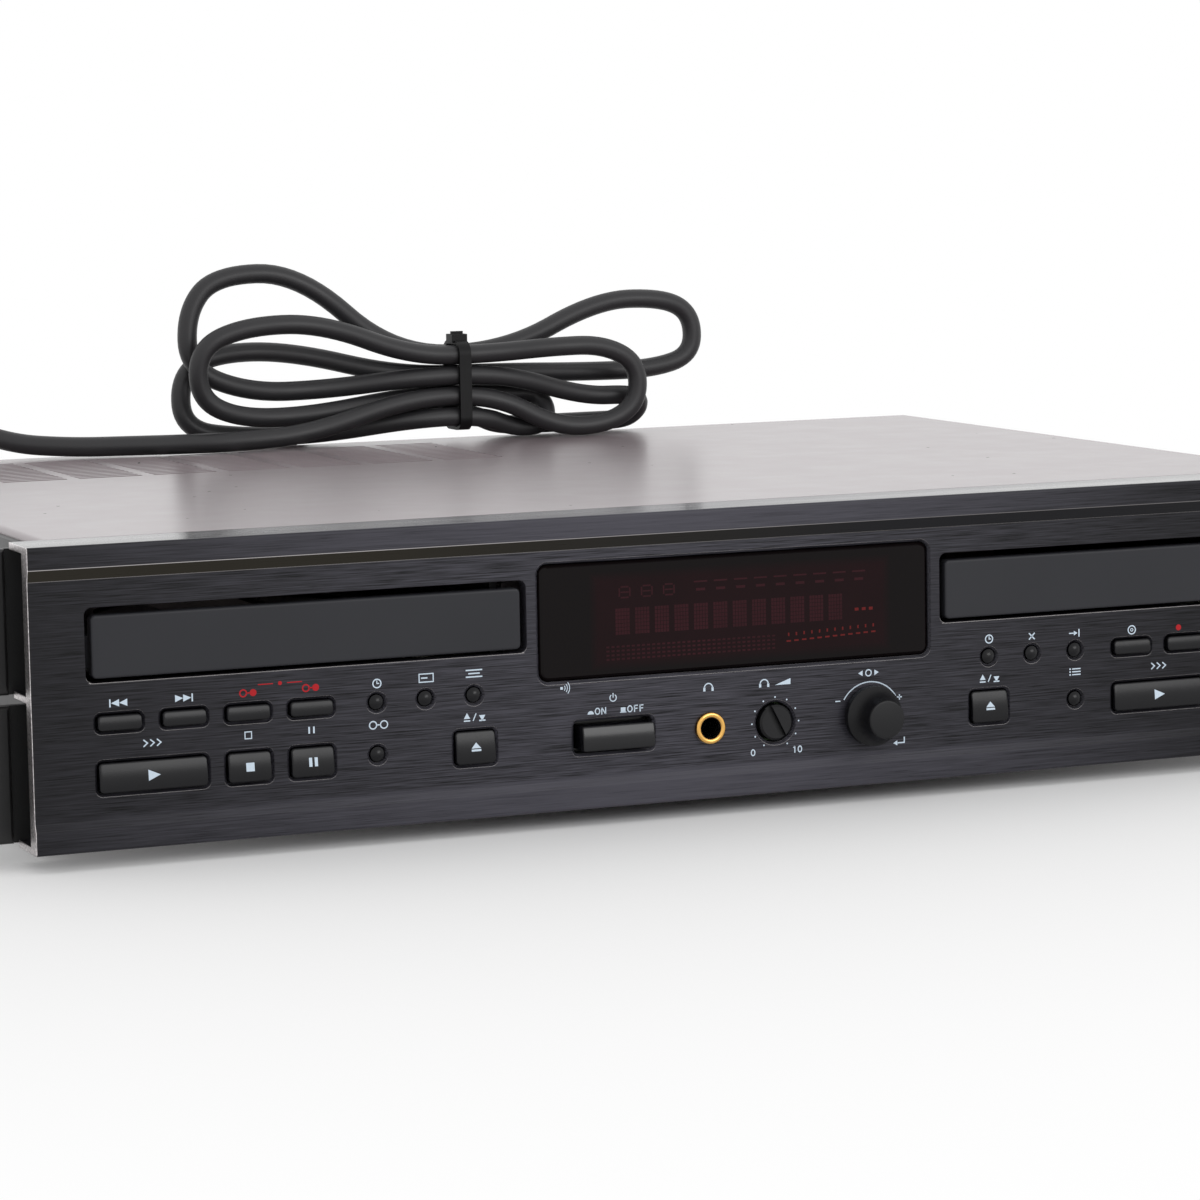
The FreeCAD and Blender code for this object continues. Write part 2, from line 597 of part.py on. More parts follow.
def gear_outline(teeth, module, play, steps=4):
    """Points of a spur gear's outline about its centre, with a gap between teeth on the +X line."""
    pitch = teeth * module / 2
    lean = math.radians(size("pressure_angle"))
    base, tip, root = pitch * math.cos(lean), pitch + module, pitch - size("rack_foot") * module
    involute = math.tan(lean) - lean
    half = math.pi / (2 * teeth) - play / (2 * pitch)
    points = []
    for tooth in range(teeth):
        axis = 2 * math.pi * (tooth + 0.5) / teeth
        flank = []
        for step in range(steps + 1):
            radius = base + (tip - base) * step / steps
            angle = math.acos(base / radius)
            flank.append((radius, half + involute - (math.tan(angle) - angle)))
        foot = [(root, flank[0][1])]
        for radius, spread in foot + flank:
            points.append((radius * math.cos(axis - spread), radius * math.sin(axis - spread)))
        for radius, spread in reversed(foot + flank):
            points.append((radius * math.cos(axis + spread), radius * math.sin(axis + spread)))
    return points


def gear_x(side):
    """Middle of the tray gear: its pitch circle touches the rack's pitch line."""
    return f"{side} * door_middle + rack_offset - gear_teeth * rack_module / 2"


def tray_gear(side, tag):
    """Gear that drives the rack, on one hub with its belt pulley."""
    x, y = size(gear_x(side)), size("gear_y")
    outline = gear_outline(int(size("gear_teeth")), size("rack_module"), size("gear_play"))
    level = size(RACK_LOW) + size("fit_gap")
    face = Part.Face(Part.makePolygon([Vector(x + px, y + py, level) for px, py in outline + outline[:1]]))
    teeth = solid(face.extrude(Vector(0, 0, size(RACK_RISE) - 2 * size("fit_gap"))), "Teeth")
    hub = rod(gear_x(side), "gear_y", "pulley_level", "gear_hub",
              f"{RACK_LOW} + {RACK_RISE} - fit_gap - pulley_level")
    pulley = rod(gear_x(side), "gear_y", "pulley_level", "pulley_radius", "pulley_wall")
    bore = rod(gear_x(side), "gear_y", "pulley_level - 1", "gear_bore + shaft_play", "tray_high - pulley_level")
    return node(f"tray_gear_{tag}", cut(join(teeth, hub, pulley), bore))


def drive_frame(side, tag):
    """Frame of a plate, walls, rails and posts, with the clamp bridge, guide rods and the two motors."""
    middle = f"{side} * door_middle"
    half = "(tray_width / 2 + drive_gap + drive_wall)"
    inner = "(tray_width / 2 + drive_gap)"
    deck = "(drive_low + drive_wall)"
    parts = [block(f"{middle} - {half}", "drive_front", "drive_low", f"2 * {half}", "drive_length",
                   "drive_wall")]
    for hand in (-1, 1):
        wall_x = f"{middle} + {hand} * ({half} - drive_wall / 2) - drive_wall / 2"
        parts.append(block(wall_x, "drive_front", deck, "drive_wall", "drive_length", f"drive_high - {deck}"))
        for low, reach in ((f"tray_low - fit_gap - rail_wall", "rail_reach"),
                           ("tray_high + fit_gap", "rail_reach / 2")):
            rail_x = f"{middle} + {hand} * ({inner} - ({reach}) / 2) - ({reach}) / 2"
            parts.append(block(rail_x, "drive_front", low, reach, "drive_length", "rail_wall"))
        for place in ("drive_front + post_inset", "drive_front + drive_length - post_inset"):
            parts.append(rod(f"{middle} + {hand} * ({half} - post_inset)", place, "floor_level + sheet_wall",
                             "post_radius", "drive_low - floor_level - sheet_wall"))
        for place in ("rod_start - rod_block", "rod_start + rod_length"):
            parts.append(block(f"{middle} + {hand} * rod_spread / 2 - rod_block / 2", place, deck,
                               "rod_block", "rod_block", f"rod_level + rod_radius + 1 - {deck}"))
    pin_rise = f"{RACK_LOW} + {RACK_RISE} - fit_gap - {deck}"
    parts.append(join(rod(gear_x(side), "gear_y", deck, "gear_bore", pin_rise),
                      rod(gear_x(side), "gear_y", deck, "gear_hub", f"pulley_level - fit_gap - {deck}")))
    bridge = block(f"{middle} - {half} + drive_wall", "bridge_y", "bridge_level",
                   f"2 * ({half} - drive_wall)", "bridge_length", "bridge_wall")
    collar = rod(middle, "well_middle", "bridge_level - 1", "clamp_neck + fit_gap", "bridge_wall + 2")
    puck = join(rod(middle, "well_middle", "bridge_level - fit_gap - clamp_wall", "clamp_radius", "clamp_wall"),
                rod(middle, "well_middle", "bridge_level - fit_gap", "clamp_neck", "bridge_wall + 2 * fit_gap"),
                rod(middle, "well_middle", "bridge_level + bridge_wall + fit_gap", "clamp_neck + 3",
                    "clamp_wall / 2"))
    rods = [rod(f"{middle} + {hand} * rod_spread / 2", "rod_start", "rod_level", "rod_radius", "rod_length", "y")
            for hand in (-1, 1)]
    motor = cut(rod(middle, "well_middle", "drive_low + drive_wall", "motor_radius", "motor_height"),
                rod(middle, "well_middle", "drive_low + drive_wall + motor_base", "spindle_radius + shaft_play",
                    "motor_height"))
    loader = join(rod(f"{gear_x(side)} - loader_reach", "loader_y", "drive_low + drive_wall", "loader_radius",
                      "pulley_level - drive_low - drive_wall - fit_gap"),
                  rod(f"{gear_x(side)} - loader_reach", "loader_y", "pulley_level - fit_gap", "gear_hub",
                      "pulley_wall"))
    return node(f"drive_frame_{tag}", gather(*parts, cut(bridge, collar), puck, *rods, motor, loader))


def turntable(side, tag):
    """Disc turntable with its centring cone and its spindle."""
    middle = f"{side} * door_middle"
    plate = rod(middle, "well_middle", "turntable_top - turntable_wall", "turntable_radius", "turntable_wall")
    boss = cone(middle, "well_middle", "turntable_top", "boss_radius", "boss_radius - 1.5", "boss_rise")
    seat = "drive_low + drive_wall + motor_base + fit_gap"
    spindle = rod(middle, "well_middle", seat, "spindle_radius", f"turntable_top - ({seat})")
    return node(f"turntable_{tag}", join(plate, boss, spindle))


def pickup_sled(side, tag):
    """Laser pickup on its two guide rods, with the lens on top."""
    middle = f"{side} * door_middle"
    base = block(f"{middle} - sled_width / 2", "rod_start + fit_gap", "rod_level - sled_height / 2", "sled_width",
                 "sled_length", "sled_height")
    lens = rod(middle, "rod_start + sled_length / 3", "rod_level + sled_height / 2", "lens_radius", "lens_rise")
    bores = [rod(f"{middle} + {hand} * rod_spread / 2", "rod_start", "rod_level", "rod_radius + shaft_play",
                 "sled_length + 2", "y") for hand in (-1, 1)]
    return node(f"pickup_sled_{tag}", cut(join(base, lens), *bores))


def mirrored(side, inner, outer, y, z, depth, height):
    """Block between two distances from the middle, on one side."""
    low = inner if side > 0 else f"-({outer})"
    return block(low, y, z, f"({outer}) - ({inner})", depth, height)


def case_screw_plan():
    """Cover and ear screws in the sides: side, y and level of each."""
    plan = []
    for side in (-1, 1):
        for place in range(2):
            plan.append((side, f"side_screw_first + {place} * side_screw_pitch", "side_screw_level", "0"))
            for row in range(2):
                plan.append((side, f"ear_screw_first + {place} * ear_screw_pitch",
                             f"ear_screw_low + {row} * ear_screw_rise", "ear_wall"))
    return plan


def rear_screw_plan():
    """X of each screw through the cover's rear lap."""
    return [f"{place} * rear_screw_spread / 3" for place in (-3, -1, 1, 3)]


def side_holes(radius):
    """Cutters for the screws in both sides."""
    length = "4 * sheet_wall + 4 * ear_wall"
    return [rod(f"{side} * housing_width / 2 - ({length}) / 2", y, level, radius, length, "x")
            for side, y, level, under in case_screw_plan()]


def rear_holes(radius):
    """Cutters for the screws in the rear lap."""
    return [rod(x, "housing_depth - 4 * sheet_wall", "rear_screw_level", radius, "8 * sheet_wall", "y")
            for x in rear_screw_plan()]


def top_cover():
    """Folded sheet: top, two sides with a hem, a rear lap, and the field of vent slots."""
    body = new_body("top_cover_sheet")
    profile = sketch_on(body, "XZ_Plane", "-cover_front")
    outer, inner = "housing_width / 2", "(housing_width / 2 - sheet_wall)"
    draw_outline(profile, [
        (f"-{outer}", "cover_hem"), (f"-{outer}", "panel_height"), (outer, "panel_height"),
        (outer, "cover_hem"), (inner, "cover_hem"), (inner, "panel_height - sheet_wall"),
        (f"-{inner}", "panel_height - sheet_wall"), (f"-{inner}", "cover_hem")])
    sheet_body = pad(body, profile, "housing_depth - cover_front", reverse=True)
    half, top = size("housing_width") / 2, size("panel_height")
    folded = soften(body, sheet_body, "Fillet", "fold_radius",
                    lambda box: box.YLength > half and abs(abs(box.Center.x) - half) < 1e-4
                    and abs(box.Center.z - top) < 1e-4)
    lap = sketch_on(body, "XZ_Plane", "-(housing_depth - sheet_wall)")
    middle = "panel_height - sheet_wall / 2 - cover_lap / 2"
    draw_rounded(lap, "0", middle, "housing_width - 2 * fold_radius", "cover_lap", "sheet_wall / 2")
    pad(body, lap, "sheet_wall", reverse=True)
    slots = sketch_on(body, "XY_Plane", "panel_height - 2 * sheet_wall")
    right, front = "(vent_right - vent_web / 2)", "vent_front"
    left, rear = "(vent_right - vent_pitch + vent_web / 2)", "(vent_front + vent_slot)"
    draw_outline(slots, [(left, front), (right, front), (right, rear), (left, rear)])
    vent = pocket(body, slots, "4 * sheet_wall", reverse=True)
    field = body.newObject("PartDesign::MultiTransform", "Vents")
    field.Originals = [vent]
    rows = body.newObject("PartDesign::LinearPattern", "Rows")
    rows.Direction = (slots, ["V_Axis"])
    columns = body.newObject("PartDesign::LinearPattern", "Columns")
    columns.Direction = (slots, ["H_Axis"])
    columns.Reversed = True
    for pattern, count, pitch in ((rows, "vent_rows", "vent_row_pitch"),
                                  (columns, "vent_columns", "vent_pitch")):
        pattern.Length = 1
        bind(pattern, Occurrences=count, Length=f"({count} - 1) * {pitch}")
    field.Transformations = [rows, columns]
    body.Tip = field
    return node("top_cover", cut(body, *side_holes("screw_radius + screw_play"),
                                 *rear_holes("screw_radius + screw_play")))


def bottom_chassis():
    """Folded tray: floor, side flanges with tall front gussets, and a front wall with windows."""
    inner = "(housing_width / 2 - sheet_wall)"
    width = f"2 * {inner} - 2 * side_gap"
    left = f"side_gap - {inner}"
    depth = "housing_depth - 2 * sheet_wall - web_depth"
    floor = block(left, "web_depth", "floor_level", width, depth, "sheet_wall")
    parts = [floor]
    for side in (-1, 1):
        outer = f"{inner} - side_gap"
        parts.append(mirrored(side, f"{outer} - sheet_wall", outer, "web_depth", "floor_level", depth,
                              "flange_rise"))
        parts.append(mirrored(side, f"{outer} - sheet_wall", outer, "web_depth", "floor_level",
                              "gusset_depth", "gusset_high - floor_level"))
    parts.append(block(left, "web_depth", "floor_level", width, "sheet_wall",
                       "panel_height - web_wall - floor_level"))
    parts.append(block(left, "web_depth", "panel_height - web_wall - sheet_wall", width, "cover_lap + 4",
                       "sheet_wall"))
    half = "(tray_width / 2 + drive_gap + drive_wall + 1)"
    windows = []
    for side in (-1, 1):
        windows.append(block(f"{side} * door_middle - {half}", "web_depth - 1", "wall_window_low",
                             f"2 * {half}", "sheet_wall + 2",
                             "panel_height - web_wall - wall_window_low - wall_rail"))
    windows.append(block("-display_width / 2 + wall_rail", "web_depth - 1", "wall_rail",
                         "display_width - 2 * wall_rail", "sheet_wall + 2",
                         "panel_height - web_wall - 2 * wall_rail"))
    return node("bottom_chassis", cut(join(*parts), *windows, *side_holes("screw_radius + screw_play")))


def rear_panel():
    """Rear wall with the openings for the sockets and the lead."""
    inner = "(housing_width / 2 - sheet_wall - side_gap)"
    wall = block(f"-{inner}", "housing_depth - 2 * sheet_wall", "floor_level", f"2 * {inner}",
                 "sheet_wall", "panel_height - sheet_wall - side_gap - floor_level")
    tools = [rod(x, "housing_depth - 3 * sheet_wall", level, "socket_radius + side_gap", "4 * sheet_wall", "y")
             for x, level in socket_plan()]
    tools.append(rod("relief_x", "housing_depth - 3 * sheet_wall", "relief_level",
                     "relief_radius + side_gap", "4 * sheet_wall", "y"))
    return node("rear_panel", cut(wall, *tools, *rear_holes("screw_radius + screw_play")))


def socket_plan():
    """Line and digital sockets: x and level of each, in pairs."""
    return [(f"socket_first + {column} * socket_pitch", f"socket_level + {row} * socket_pitch")
            for column in range(3) for row in range(2)]


def rear_sockets():
    """Round sockets: a moulded block inside and six flanged shells that stand on it."""
    first, level = socket_plan()[0]
    back = "(housing_depth - 2 * sheet_wall)"
    inside = block(f"{first} - socket_pitch / 2", f"{back} - socket_block", f"{level} - socket_pitch / 2",
                   "3 * socket_pitch", "socket_block", "2 * socket_pitch")
    shells = []
    for x, level in socket_plan():
        barrel = rod(x, back, level, "socket_radius", "sheet_wall + socket_stand", "y")
        flange = rod(x, "housing_depth - sheet_wall", level, "socket_flange", "sheet_wall", "y")
        bore = rod(x, "housing_depth + socket_floor", level, "socket_bore", "socket_stand + 1", "y")
        shells.append(cut(join(barrel, flange), bore))
    return node("rear_sockets", gather(inside, *shells))


def rack_ear(side, tag):
    """Angle bracket: a pad above and below a slit, slotted for rack screws, on a flange along the side."""
    reach = "rack_width / 2"
    web = mirrored(side, "housing_width / 2", reach, "ear_front + ear_pad", "ear_low", "ear_wall",
                   "ear_high - ear_low")
    pad_block = mirrored(side, "ear_pad_edge", reach, "ear_front", "ear_low", "ear_pad + ear_wall / 2",
                         "ear_high - ear_low")
    flange = mirrored(side, "housing_width / 2", "housing_width / 2 + ear_wall", "ear_front + ear_pad",
                      "ear_low", "ear_flange", "ear_high - ear_low")
    slit = mirrored(side, "housing_width / 2 + ear_wall + ear_round", f"{reach} + 1", "ear_front - 1",
                    "ear_slit_low", "ear_pad + ear_wall + 2", "ear_slit")
    tools = [slit]
    centre = "(panel_height / 2)"
    for row in (-1, 1):
        level = f"{centre} + {row} * rack_hole_rise / 2"
        start = f"{side} * rack_hole_span / 2 - rack_hole_length / 2"
        for x in (f"{start} + rack_hole_radius", f"{start} + rack_hole_length - rack_hole_radius"):
            tools.append(rod(x, "ear_front - 1", level, "rack_hole_radius", "ear_pad + ear_wall + 2", "y"))
        tools.append(block(f"{start} + rack_hole_radius", "ear_front - 1", f"{level} - rack_hole_radius",
                           "rack_hole_length - 2 * rack_hole_radius", "ear_pad + ear_wall + 2",
                           "2 * rack_hole_radius"))
    rough = cut(join(web, pad_block, flange), *tools, *side_holes("screw_radius + screw_play"))
    doc.recompute()
    front, edge, outer = size("ear_front"), size("ear_pad_edge"), size(reach)

    def pad_rim(box):
        """Front edges of the two pads, apart from the slots."""
        flat = abs(box.YMax - front) < 1e-4
        inside = abs(abs(box.XMin) - edge) < 1e-3 or abs(abs(box.XMax) - edge) < 1e-3
        outside = abs(abs(box.XMin) - outer) < 1e-3 or abs(abs(box.XMax) - outer) < 1e-3
        return flat and (inside or outside)

    softened = doc.addObject("Part::Fillet", "Softened")
    softened.Base = rough
    numbers = [n for n, edge_shape in enumerate(rough.Shape.Edges, start=1) if pad_rim(edge_shape.BoundBox)]
    softened.Edges = [(n, size("ear_round") / 2, size("ear_round") / 2) for n in numbers]
    return node(f"rack_ear_{tag}", softened)


def feet():
    """Four moulded feet under the chassis."""
    items = []
    for side in (-1, 1):
        for y in ("foot_inset", "housing_depth - foot_inset"):
            pad_rod = rod(f"{side} * foot_spread", y, "foot_round - foot_height", "foot_radius",
                          "foot_height + floor_level - foot_round")
            tread = cone(f"{side} * foot_spread", y, "-foot_height", "foot_radius - foot_round",
                         "foot_radius", "foot_round")
            items.append(join(pad_rod, tread))
    return node("feet", gather(*items))


def pan_screw(x, y, z, along, sign):
    """Pan-headed screw whose head sits on a face and whose shank goes inwards."""
    if along == "x":
        head_x = x if sign > 0 else f"{x} - screw_head"
        shank_x = f"{x} - screw_grip" if sign > 0 else x
        return join(rod(head_x, y, z, "screw_head_radius", "screw_head", "x"),
                    rod(shank_x, y, z, "screw_radius", "screw_grip", "x"))
    return join(rod(x, y, z, "screw_head_radius", "screw_head", "y"),
                rod(x, f"{y} - screw_grip", z, "screw_radius", "screw_grip", "y"))


def case_screws():
    """All screws of the cover and the ears."""
    items = []
    for side, y, level, under in case_screw_plan():
        items.append(pan_screw(f"{side} * (housing_width / 2 + {under})", y, level, "x", side))
    for x in rear_screw_plan():
        items.append(pan_screw(x, "housing_depth", "rear_screw_level", "y", 1))
    return node("case_screws", gather(*items))


def control_board():
    """Board behind the panel: a switch behind each key, the level control, the encoder and the display."""
    plate = block("-board_half", "board_front", "board_low", "2 * board_half", "board_wall",
                  "board_high - board_low")
    tower = block("-display_width / 2 + 2 * display_round", "board_front", "board_high - 1",
                  "display_width - 4 * display_round", "board_wall",
                  "display_low + display_height - board_high + 1")
    jack_hole = block("jack_x - jack_ring - 2", "board_front - 1", "jack_level - jack_ring - 2",
                      "2 * jack_ring + 4", "board_wall + 2", "2 * jack_ring + 4")
    parts = [cut(join(plate, tower), jack_hole)]
    places = [(x, level) for name, x, level, width, height in key_plan()]
    places += [(x, level) for name, x, level in dot_key_plan()]
    for x, level in places:
        parts.append(join(
            block(f"{x} - switch_size / 2", "board_front - switch_rise", f"{level} - switch_size / 2",
                  "switch_size", "switch_rise", "switch_size"),
            block(f"{x} - plunger_size / 2", SWITCH_FACE, f"{level} - plunger_size / 2", "plunger_size",
                  "plunger_rise", "plunger_size")))
    latch = "lip_plate + key_gap + key_flange + power_stem + power_travel + key_gap"
    parts.append(block("power_x - switch_size", latch, "power_level - switch_size / 2",
                       "2 * switch_size", f"board_front - ({latch})", "switch_size"))
    parts.append(block("power_x - 1.5 * switch_size", "board_front + board_wall", "power_level - switch_size",
                       "3 * switch_size", "power_switch_depth", "2 * switch_size"))
    for x, level, radius in (("level_x", "level_level", "level_shaft_radius"),
                             ("jog_x", "jog_level", "jog_shaft_radius")):
        body = block(f"{x} - encoder_size / 2", "encoder_front", f"{level} - encoder_size / 2",
                     "encoder_size", "board_front - encoder_front", "encoder_size")
        parts.append(cut(body, rod(x, "encoder_front - 1", level, f"{radius} + shaft_play",
                                   "board_front - encoder_front + 1", "y")))
    parts.append(block("-display_width / 2 + 3 * display_round", "tube_front", "display_low + display_round",
                       "display_width - 6 * display_round", f"board_front - tube_front",
                       "display_height - 2 * display_round"))
    return node("control_board", gather(*parts))


def phones_jack():
    """Headphone socket: a ring in the panel and its body behind."""
    ring = rod("jack_x", "face_recess - jack_stand", "jack_level", "jack_ring",
               "lip_plate + jack_stand - face_recess", "y")
    body = block("jack_x - jack_ring - 1", "lip_plate", "jack_level - jack_ring - 1", "2 * jack_ring + 2",
                 "jack_depth - lip_plate", "2 * jack_ring + 2")
    bore = rod("jack_x", "face_recess - jack_stand - 1", "jack_level", "jack_bore",
               "jack_depth - 2 + 1", "y")
    return node("phones_jack", cut(join(ring, body), bore))


def level_knob():
    """Recessed knob with a pointer groove across its face, on its own spindle."""
    front = "face_recess - level_stand"
    groove = block("-level_radius - 1", "-1", "-groove_width / 2", "2 * level_radius + 2",
                   "groove_depth + 1", "groove_width")
    turned_groove = doc.addObject("Part::Compound", "Groove")
    turned_groove.Links = [groove]
    put(turned_groove, "level_x", front, "level_level", Rotation(Vector(0, 1, 0), size("groove_angle")))
    body = new_body("level_knob_core")
    front_y = f"({front})"
    turned(body, [(front_y, "0"), (front_y, "level_radius - knob_edge"),
                  (f"{front_y} + knob_edge", "level_radius"), ("lip_plate + 2", "level_radius"),
                  ("lip_plate + 2", "level_shaft_radius"),
                  ("board_front - fit_gap", "level_shaft_radius"), ("board_front - fit_gap", "0")],
           "level_x", "level_level")
    return node("level_knob", cut(body, turned_groove))


def jog():
    """Jog knob: a flared grip that turns on a shaft, and the shaft that is pushed."""
    back = "(face_recess - jog_push - fit_gap)"
    tip = "(face_recess - jog_stand)"
    body = new_body("jog_knob")
    turned(body, [
        (f"{tip}", "0"), (f"{tip}", "jog_tip_radius - knob_edge"), (f"{tip} + knob_edge", "jog_tip_radius"),
        (f"{tip} + jog_grip", "jog_tip_radius + jog_flare / 4"),
        (f"{back} - jog_skirt", "jog_base_radius - jog_flare / 2"), (f"{back} - jog_skirt / 2", "jog_base_radius"),
        (back, "jog_base_radius"), (back, "jog_shaft_radius + shaft_play"),
        (f"{tip} + knob_floor", "jog_shaft_radius + shaft_play"), (f"{tip} + knob_floor", "0")],
        "jog_x", "jog_level")
    node("jog_knob", body)
    shaft = rod("jog_x", f"{tip} + knob_floor + fit_gap", "jog_level", "jog_shaft_radius",
                f"board_front - fit_gap - jog_push - {tip} - knob_floor - fit_gap", "y")
    collar = rod("jog_x", "lip_plate + fit_gap", "jog_level", "shaft_collar", "collar_wall", "y")
    return node("jog_shaft", join(shaft, collar))


def main_board():
    """Main board on pillars, with capacitors and a finned heat sink."""
    left = "main_board_shift - main_board_width / 2"
    plate = block(left, "main_board_y", "main_board_level", "main_board_width", "main_board_length",
                  "board_wall")
    parts = [plate]
    for side in (-1, 1):
        for y in ("main_board_y + 6", "main_board_y + main_board_length - 6"):
            parts.append(rod(f"main_board_shift + {side} * (main_board_width / 2 - 6)", y,
                             "floor_level + sheet_wall", "post_radius / 2",
                             "main_board_level - floor_level - sheet_wall"))
    for place in range(4):
        parts.append(rod(f"main_board_shift - 30 + {place} * 3 * capacitor_radius", "main_board_y + 20",
                         "main_board_level + board_wall", "capacitor_radius", "capacitor_rise"))
    base = block("main_board_shift + 60", "main_board_y + 30", "main_board_level + board_wall", "50", "4",
                 "heat_sink_rise")
    fins = [block(f"main_board_shift + 60 + {place} * 6", "main_board_y + 34", "main_board_level + board_wall",
                  "2", "14", "heat_sink_rise") for place in range(9)]
    parts.append(join(base, *fins))
    return node("main_board", gather(*parts))


def mains_transformer():
    """Laminated core on two feet, with its winding round the middle limb."""
    level = "floor_level + sheet_wall"
    core = block("-trafo_width / 2", "trafo_y", level, "trafo_width", "trafo_stack", "trafo_height")
    limb = "trafo_width / 6"
    holes = [block(f"-trafo_width / 2 + {limb} + {place} * 3 * {limb}", "trafo_y - 1", f"{level} + {limb}",
                   limb, "trafo_stack + 2", f"trafo_height - 2 * {limb}") for place in (0, 1)]
    winding = block(f"-trafo_width / 2 + {limb}", "trafo_y - winding_proud", f"{level} + {limb}",
                    f"4 * {limb}", "trafo_stack + 2 * winding_proud", f"trafo_height - 2 * {limb}")
    middle = block(f"-{limb}", "trafo_y", f"{level} + {limb}", f"2 * {limb}", "trafo_stack",
                   f"trafo_height - 2 * {limb}")
    return node("mains_transformer", gather(cut(core, *holes), cut(winding, middle)))


def cord_relief():
    """Ribbed strain relief where the lead leaves the rear panel."""
    body = new_body("cord_relief")
    back = "(housing_depth - sheet_wall)"
    outline = [(f"{back} - sheet_wall", "0"), (f"{back} - sheet_wall", "relief_radius"),
               (back, "relief_radius"), (back, "relief_flange"), (f"{back} + 2", "relief_flange")]
    ribs = int(size("relief_ribs"))
    for rib in range(ribs):
        start = f"{back} + 2 + {rib} * (relief_length - 2) / {ribs}"
        thick = f"relief_radius + (relief_tip - relief_radius) * {rib} / {ribs}"
        outline += [(start, f"{thick} - 0.9"), (f"{start} + 1.6", f"{thick} - 0.9"),
                    (f"{start} + 1.6", thick), (f"{start} + (relief_length - 2) / {ribs}", thick)]
    outline.append((f"{back} + relief_length", "0"))
    turned(body, outline, "relief_x", "relief_level")
    return node("cord_relief", body)


# the lead: points of its free runs and of the hank's loops, in the panel's frame

LEAD_ROUTE = [(-165, 326.8, 30), (-165, 352, 30), (-170, 379, 40), (-183, 396, 62), (-195, 398, 89),
              (-199, 382, 112), (-194, 357, 122), (-181, 334, 115), (-165.5, 315, 102.5),
              (-147, 300.5, 93.8), (-126, 292.6, 91.9), (-104, 287, 91.9)]
TAIL_ROUTE = [(-17.5, 300.5, 98.2), (-31, 310.5, 95.5), (-41, 322, 84), (-46, 331, 65.5), (-46, 338, 43),
              (-39, 348, 22), (-24, 362, 5.5), (-2, 376, -1.4), (25, 384, -1.4), (50, 385.5, -0.6),
              (76, 382.5, 1.8), (100, 378.5, 1.8)]

# each loop: side, where it starts to turn (x, y, z), where it has turned (x, y, z) and its end's x
LOOPS = {
    "long_front": (1, 67, 279.8, 91.9, 66, 280, 121.4, 87.2),
    "middle_front": (-1, -53, 282.5, 133, -56, 286.5, 99.6, -80.5),
    "short": (1, 48, 296.6, 104, 48, 288.8, 91.9, 55.3),
    "low_back": (-1, -48, 298.5, 91.9, -62, 302.6, 122.5, -82.5),
    "high_back": (1, 92, 297, 110.5, 99, 297, 137, 117),
    "tall": (-1, -62, 294.5, 151, -47, 292.8, 108.4, -81.5),
    "long_back": (1, 86, 289.2, 102, 86, 299.4, 91.9, 93.2),
}


def unit(x, y, z):
    """Direction of length one."""
    return Vector(x, y, z).normalize()


def waist(row, column, way, drift=0):
    """Place and direction of a strand in the tie: rows count from the top, columns front 0 and back 1."""
    level = size("waist_level") + (4 - row) * size("waist_row")
    y = size("waist_y") + (column - 0.5) * size("waist_column")
    return Vector(size("waist_x"), y, level), unit(way, drift, 0)


def loop(name):
    """Three places and directions round the end of a loop: a quarter turn to its end and a quarter back."""
    side, x_in, y_in, z_in, x_out, y_out, z_out, end = LOOPS[name]
    middle = Vector(end, (y_in + y_out) / 2, (z_in + z_out) / 2)
    return [(Vector(x_in, y_in, z_in), unit(side, 0, 0)), (middle, unit(0, y_out - y_in, z_out - z_in)),
            (Vector(x_out, y_out, z_out), unit(-side, 0, 0))]


def straight(place, way):
    """A place and the same direction one cord diameter further on."""
    return [(place, way), (place + way * (2 * size("cord_radius")), way)]


def hank_stations():
    """The whole hank in order: eight passes through the waist and the loops between them."""
    stations = straight(Vector(*LEAD_ROUTE[-1]), unit(1, -0.25, 0))
    stations += [(Vector(-62, 277.5, 92.6), unit(1, 0, 0.05)), waist(3, 0, 1)]
    stations += loop("long_front") + [waist(1, 0, -1)] + loop("middle_front") + [waist(3, 1, 1)]
    stations += loop("short") + [waist(4, 0, -1)] + loop("low_back") + [waist(2, 1, 1)]
    stations += loop("high_back") + [waist(1, 1, -1)] + loop("tall") + [waist(2, 0, 1)]
    stations += loop("long_back") + [(Vector(46, 298.5, 91.9), unit(-1, 0, 0))]
    return stations + straight(*waist(4, 1, -1, 0.1))


def arc_edge(start, way, stop):
    """Edge that leaves one place in a direction and ends at another: its shape, radius and length."""
    chord = stop - start
    lean = chord.getAngle(way)
    if lean < 1e-4:
        return Part.LineSegment(start, stop).toShape(), math.inf, chord.Length
    inward = (chord - way * chord.dot(way)).normalize()
    radius = chord.Length / (2 * math.sin(lean))
    middle = start + way * (radius * math.sin(lean)) + inward * (radius * (1 - math.cos(lean)))
    return Part.Arc(start, middle, stop).toShape(), radius, 2 * radius * lean


def biarc(start, way, stop, final):
    """Two arcs between two places, tangent to a direction at each and to one another."""
    chord = stop - start
    both = way + final
    spread = 2 * (1 - way.dot(final))
    if spread < 1e-9:
        reach = chord.dot(chord) / (4 * chord.dot(way))
    else:
        along = chord.dot(both)
        reach = (math.sqrt(along ** 2 + spread * chord.dot(chord)) - along) / spread
    first, second = start + way * reach, stop - final * reach
    joint = (first + second) * 0.5
    return [arc_edge(start, way, joint), arc_edge(joint, (second - first).normalize(), stop)]


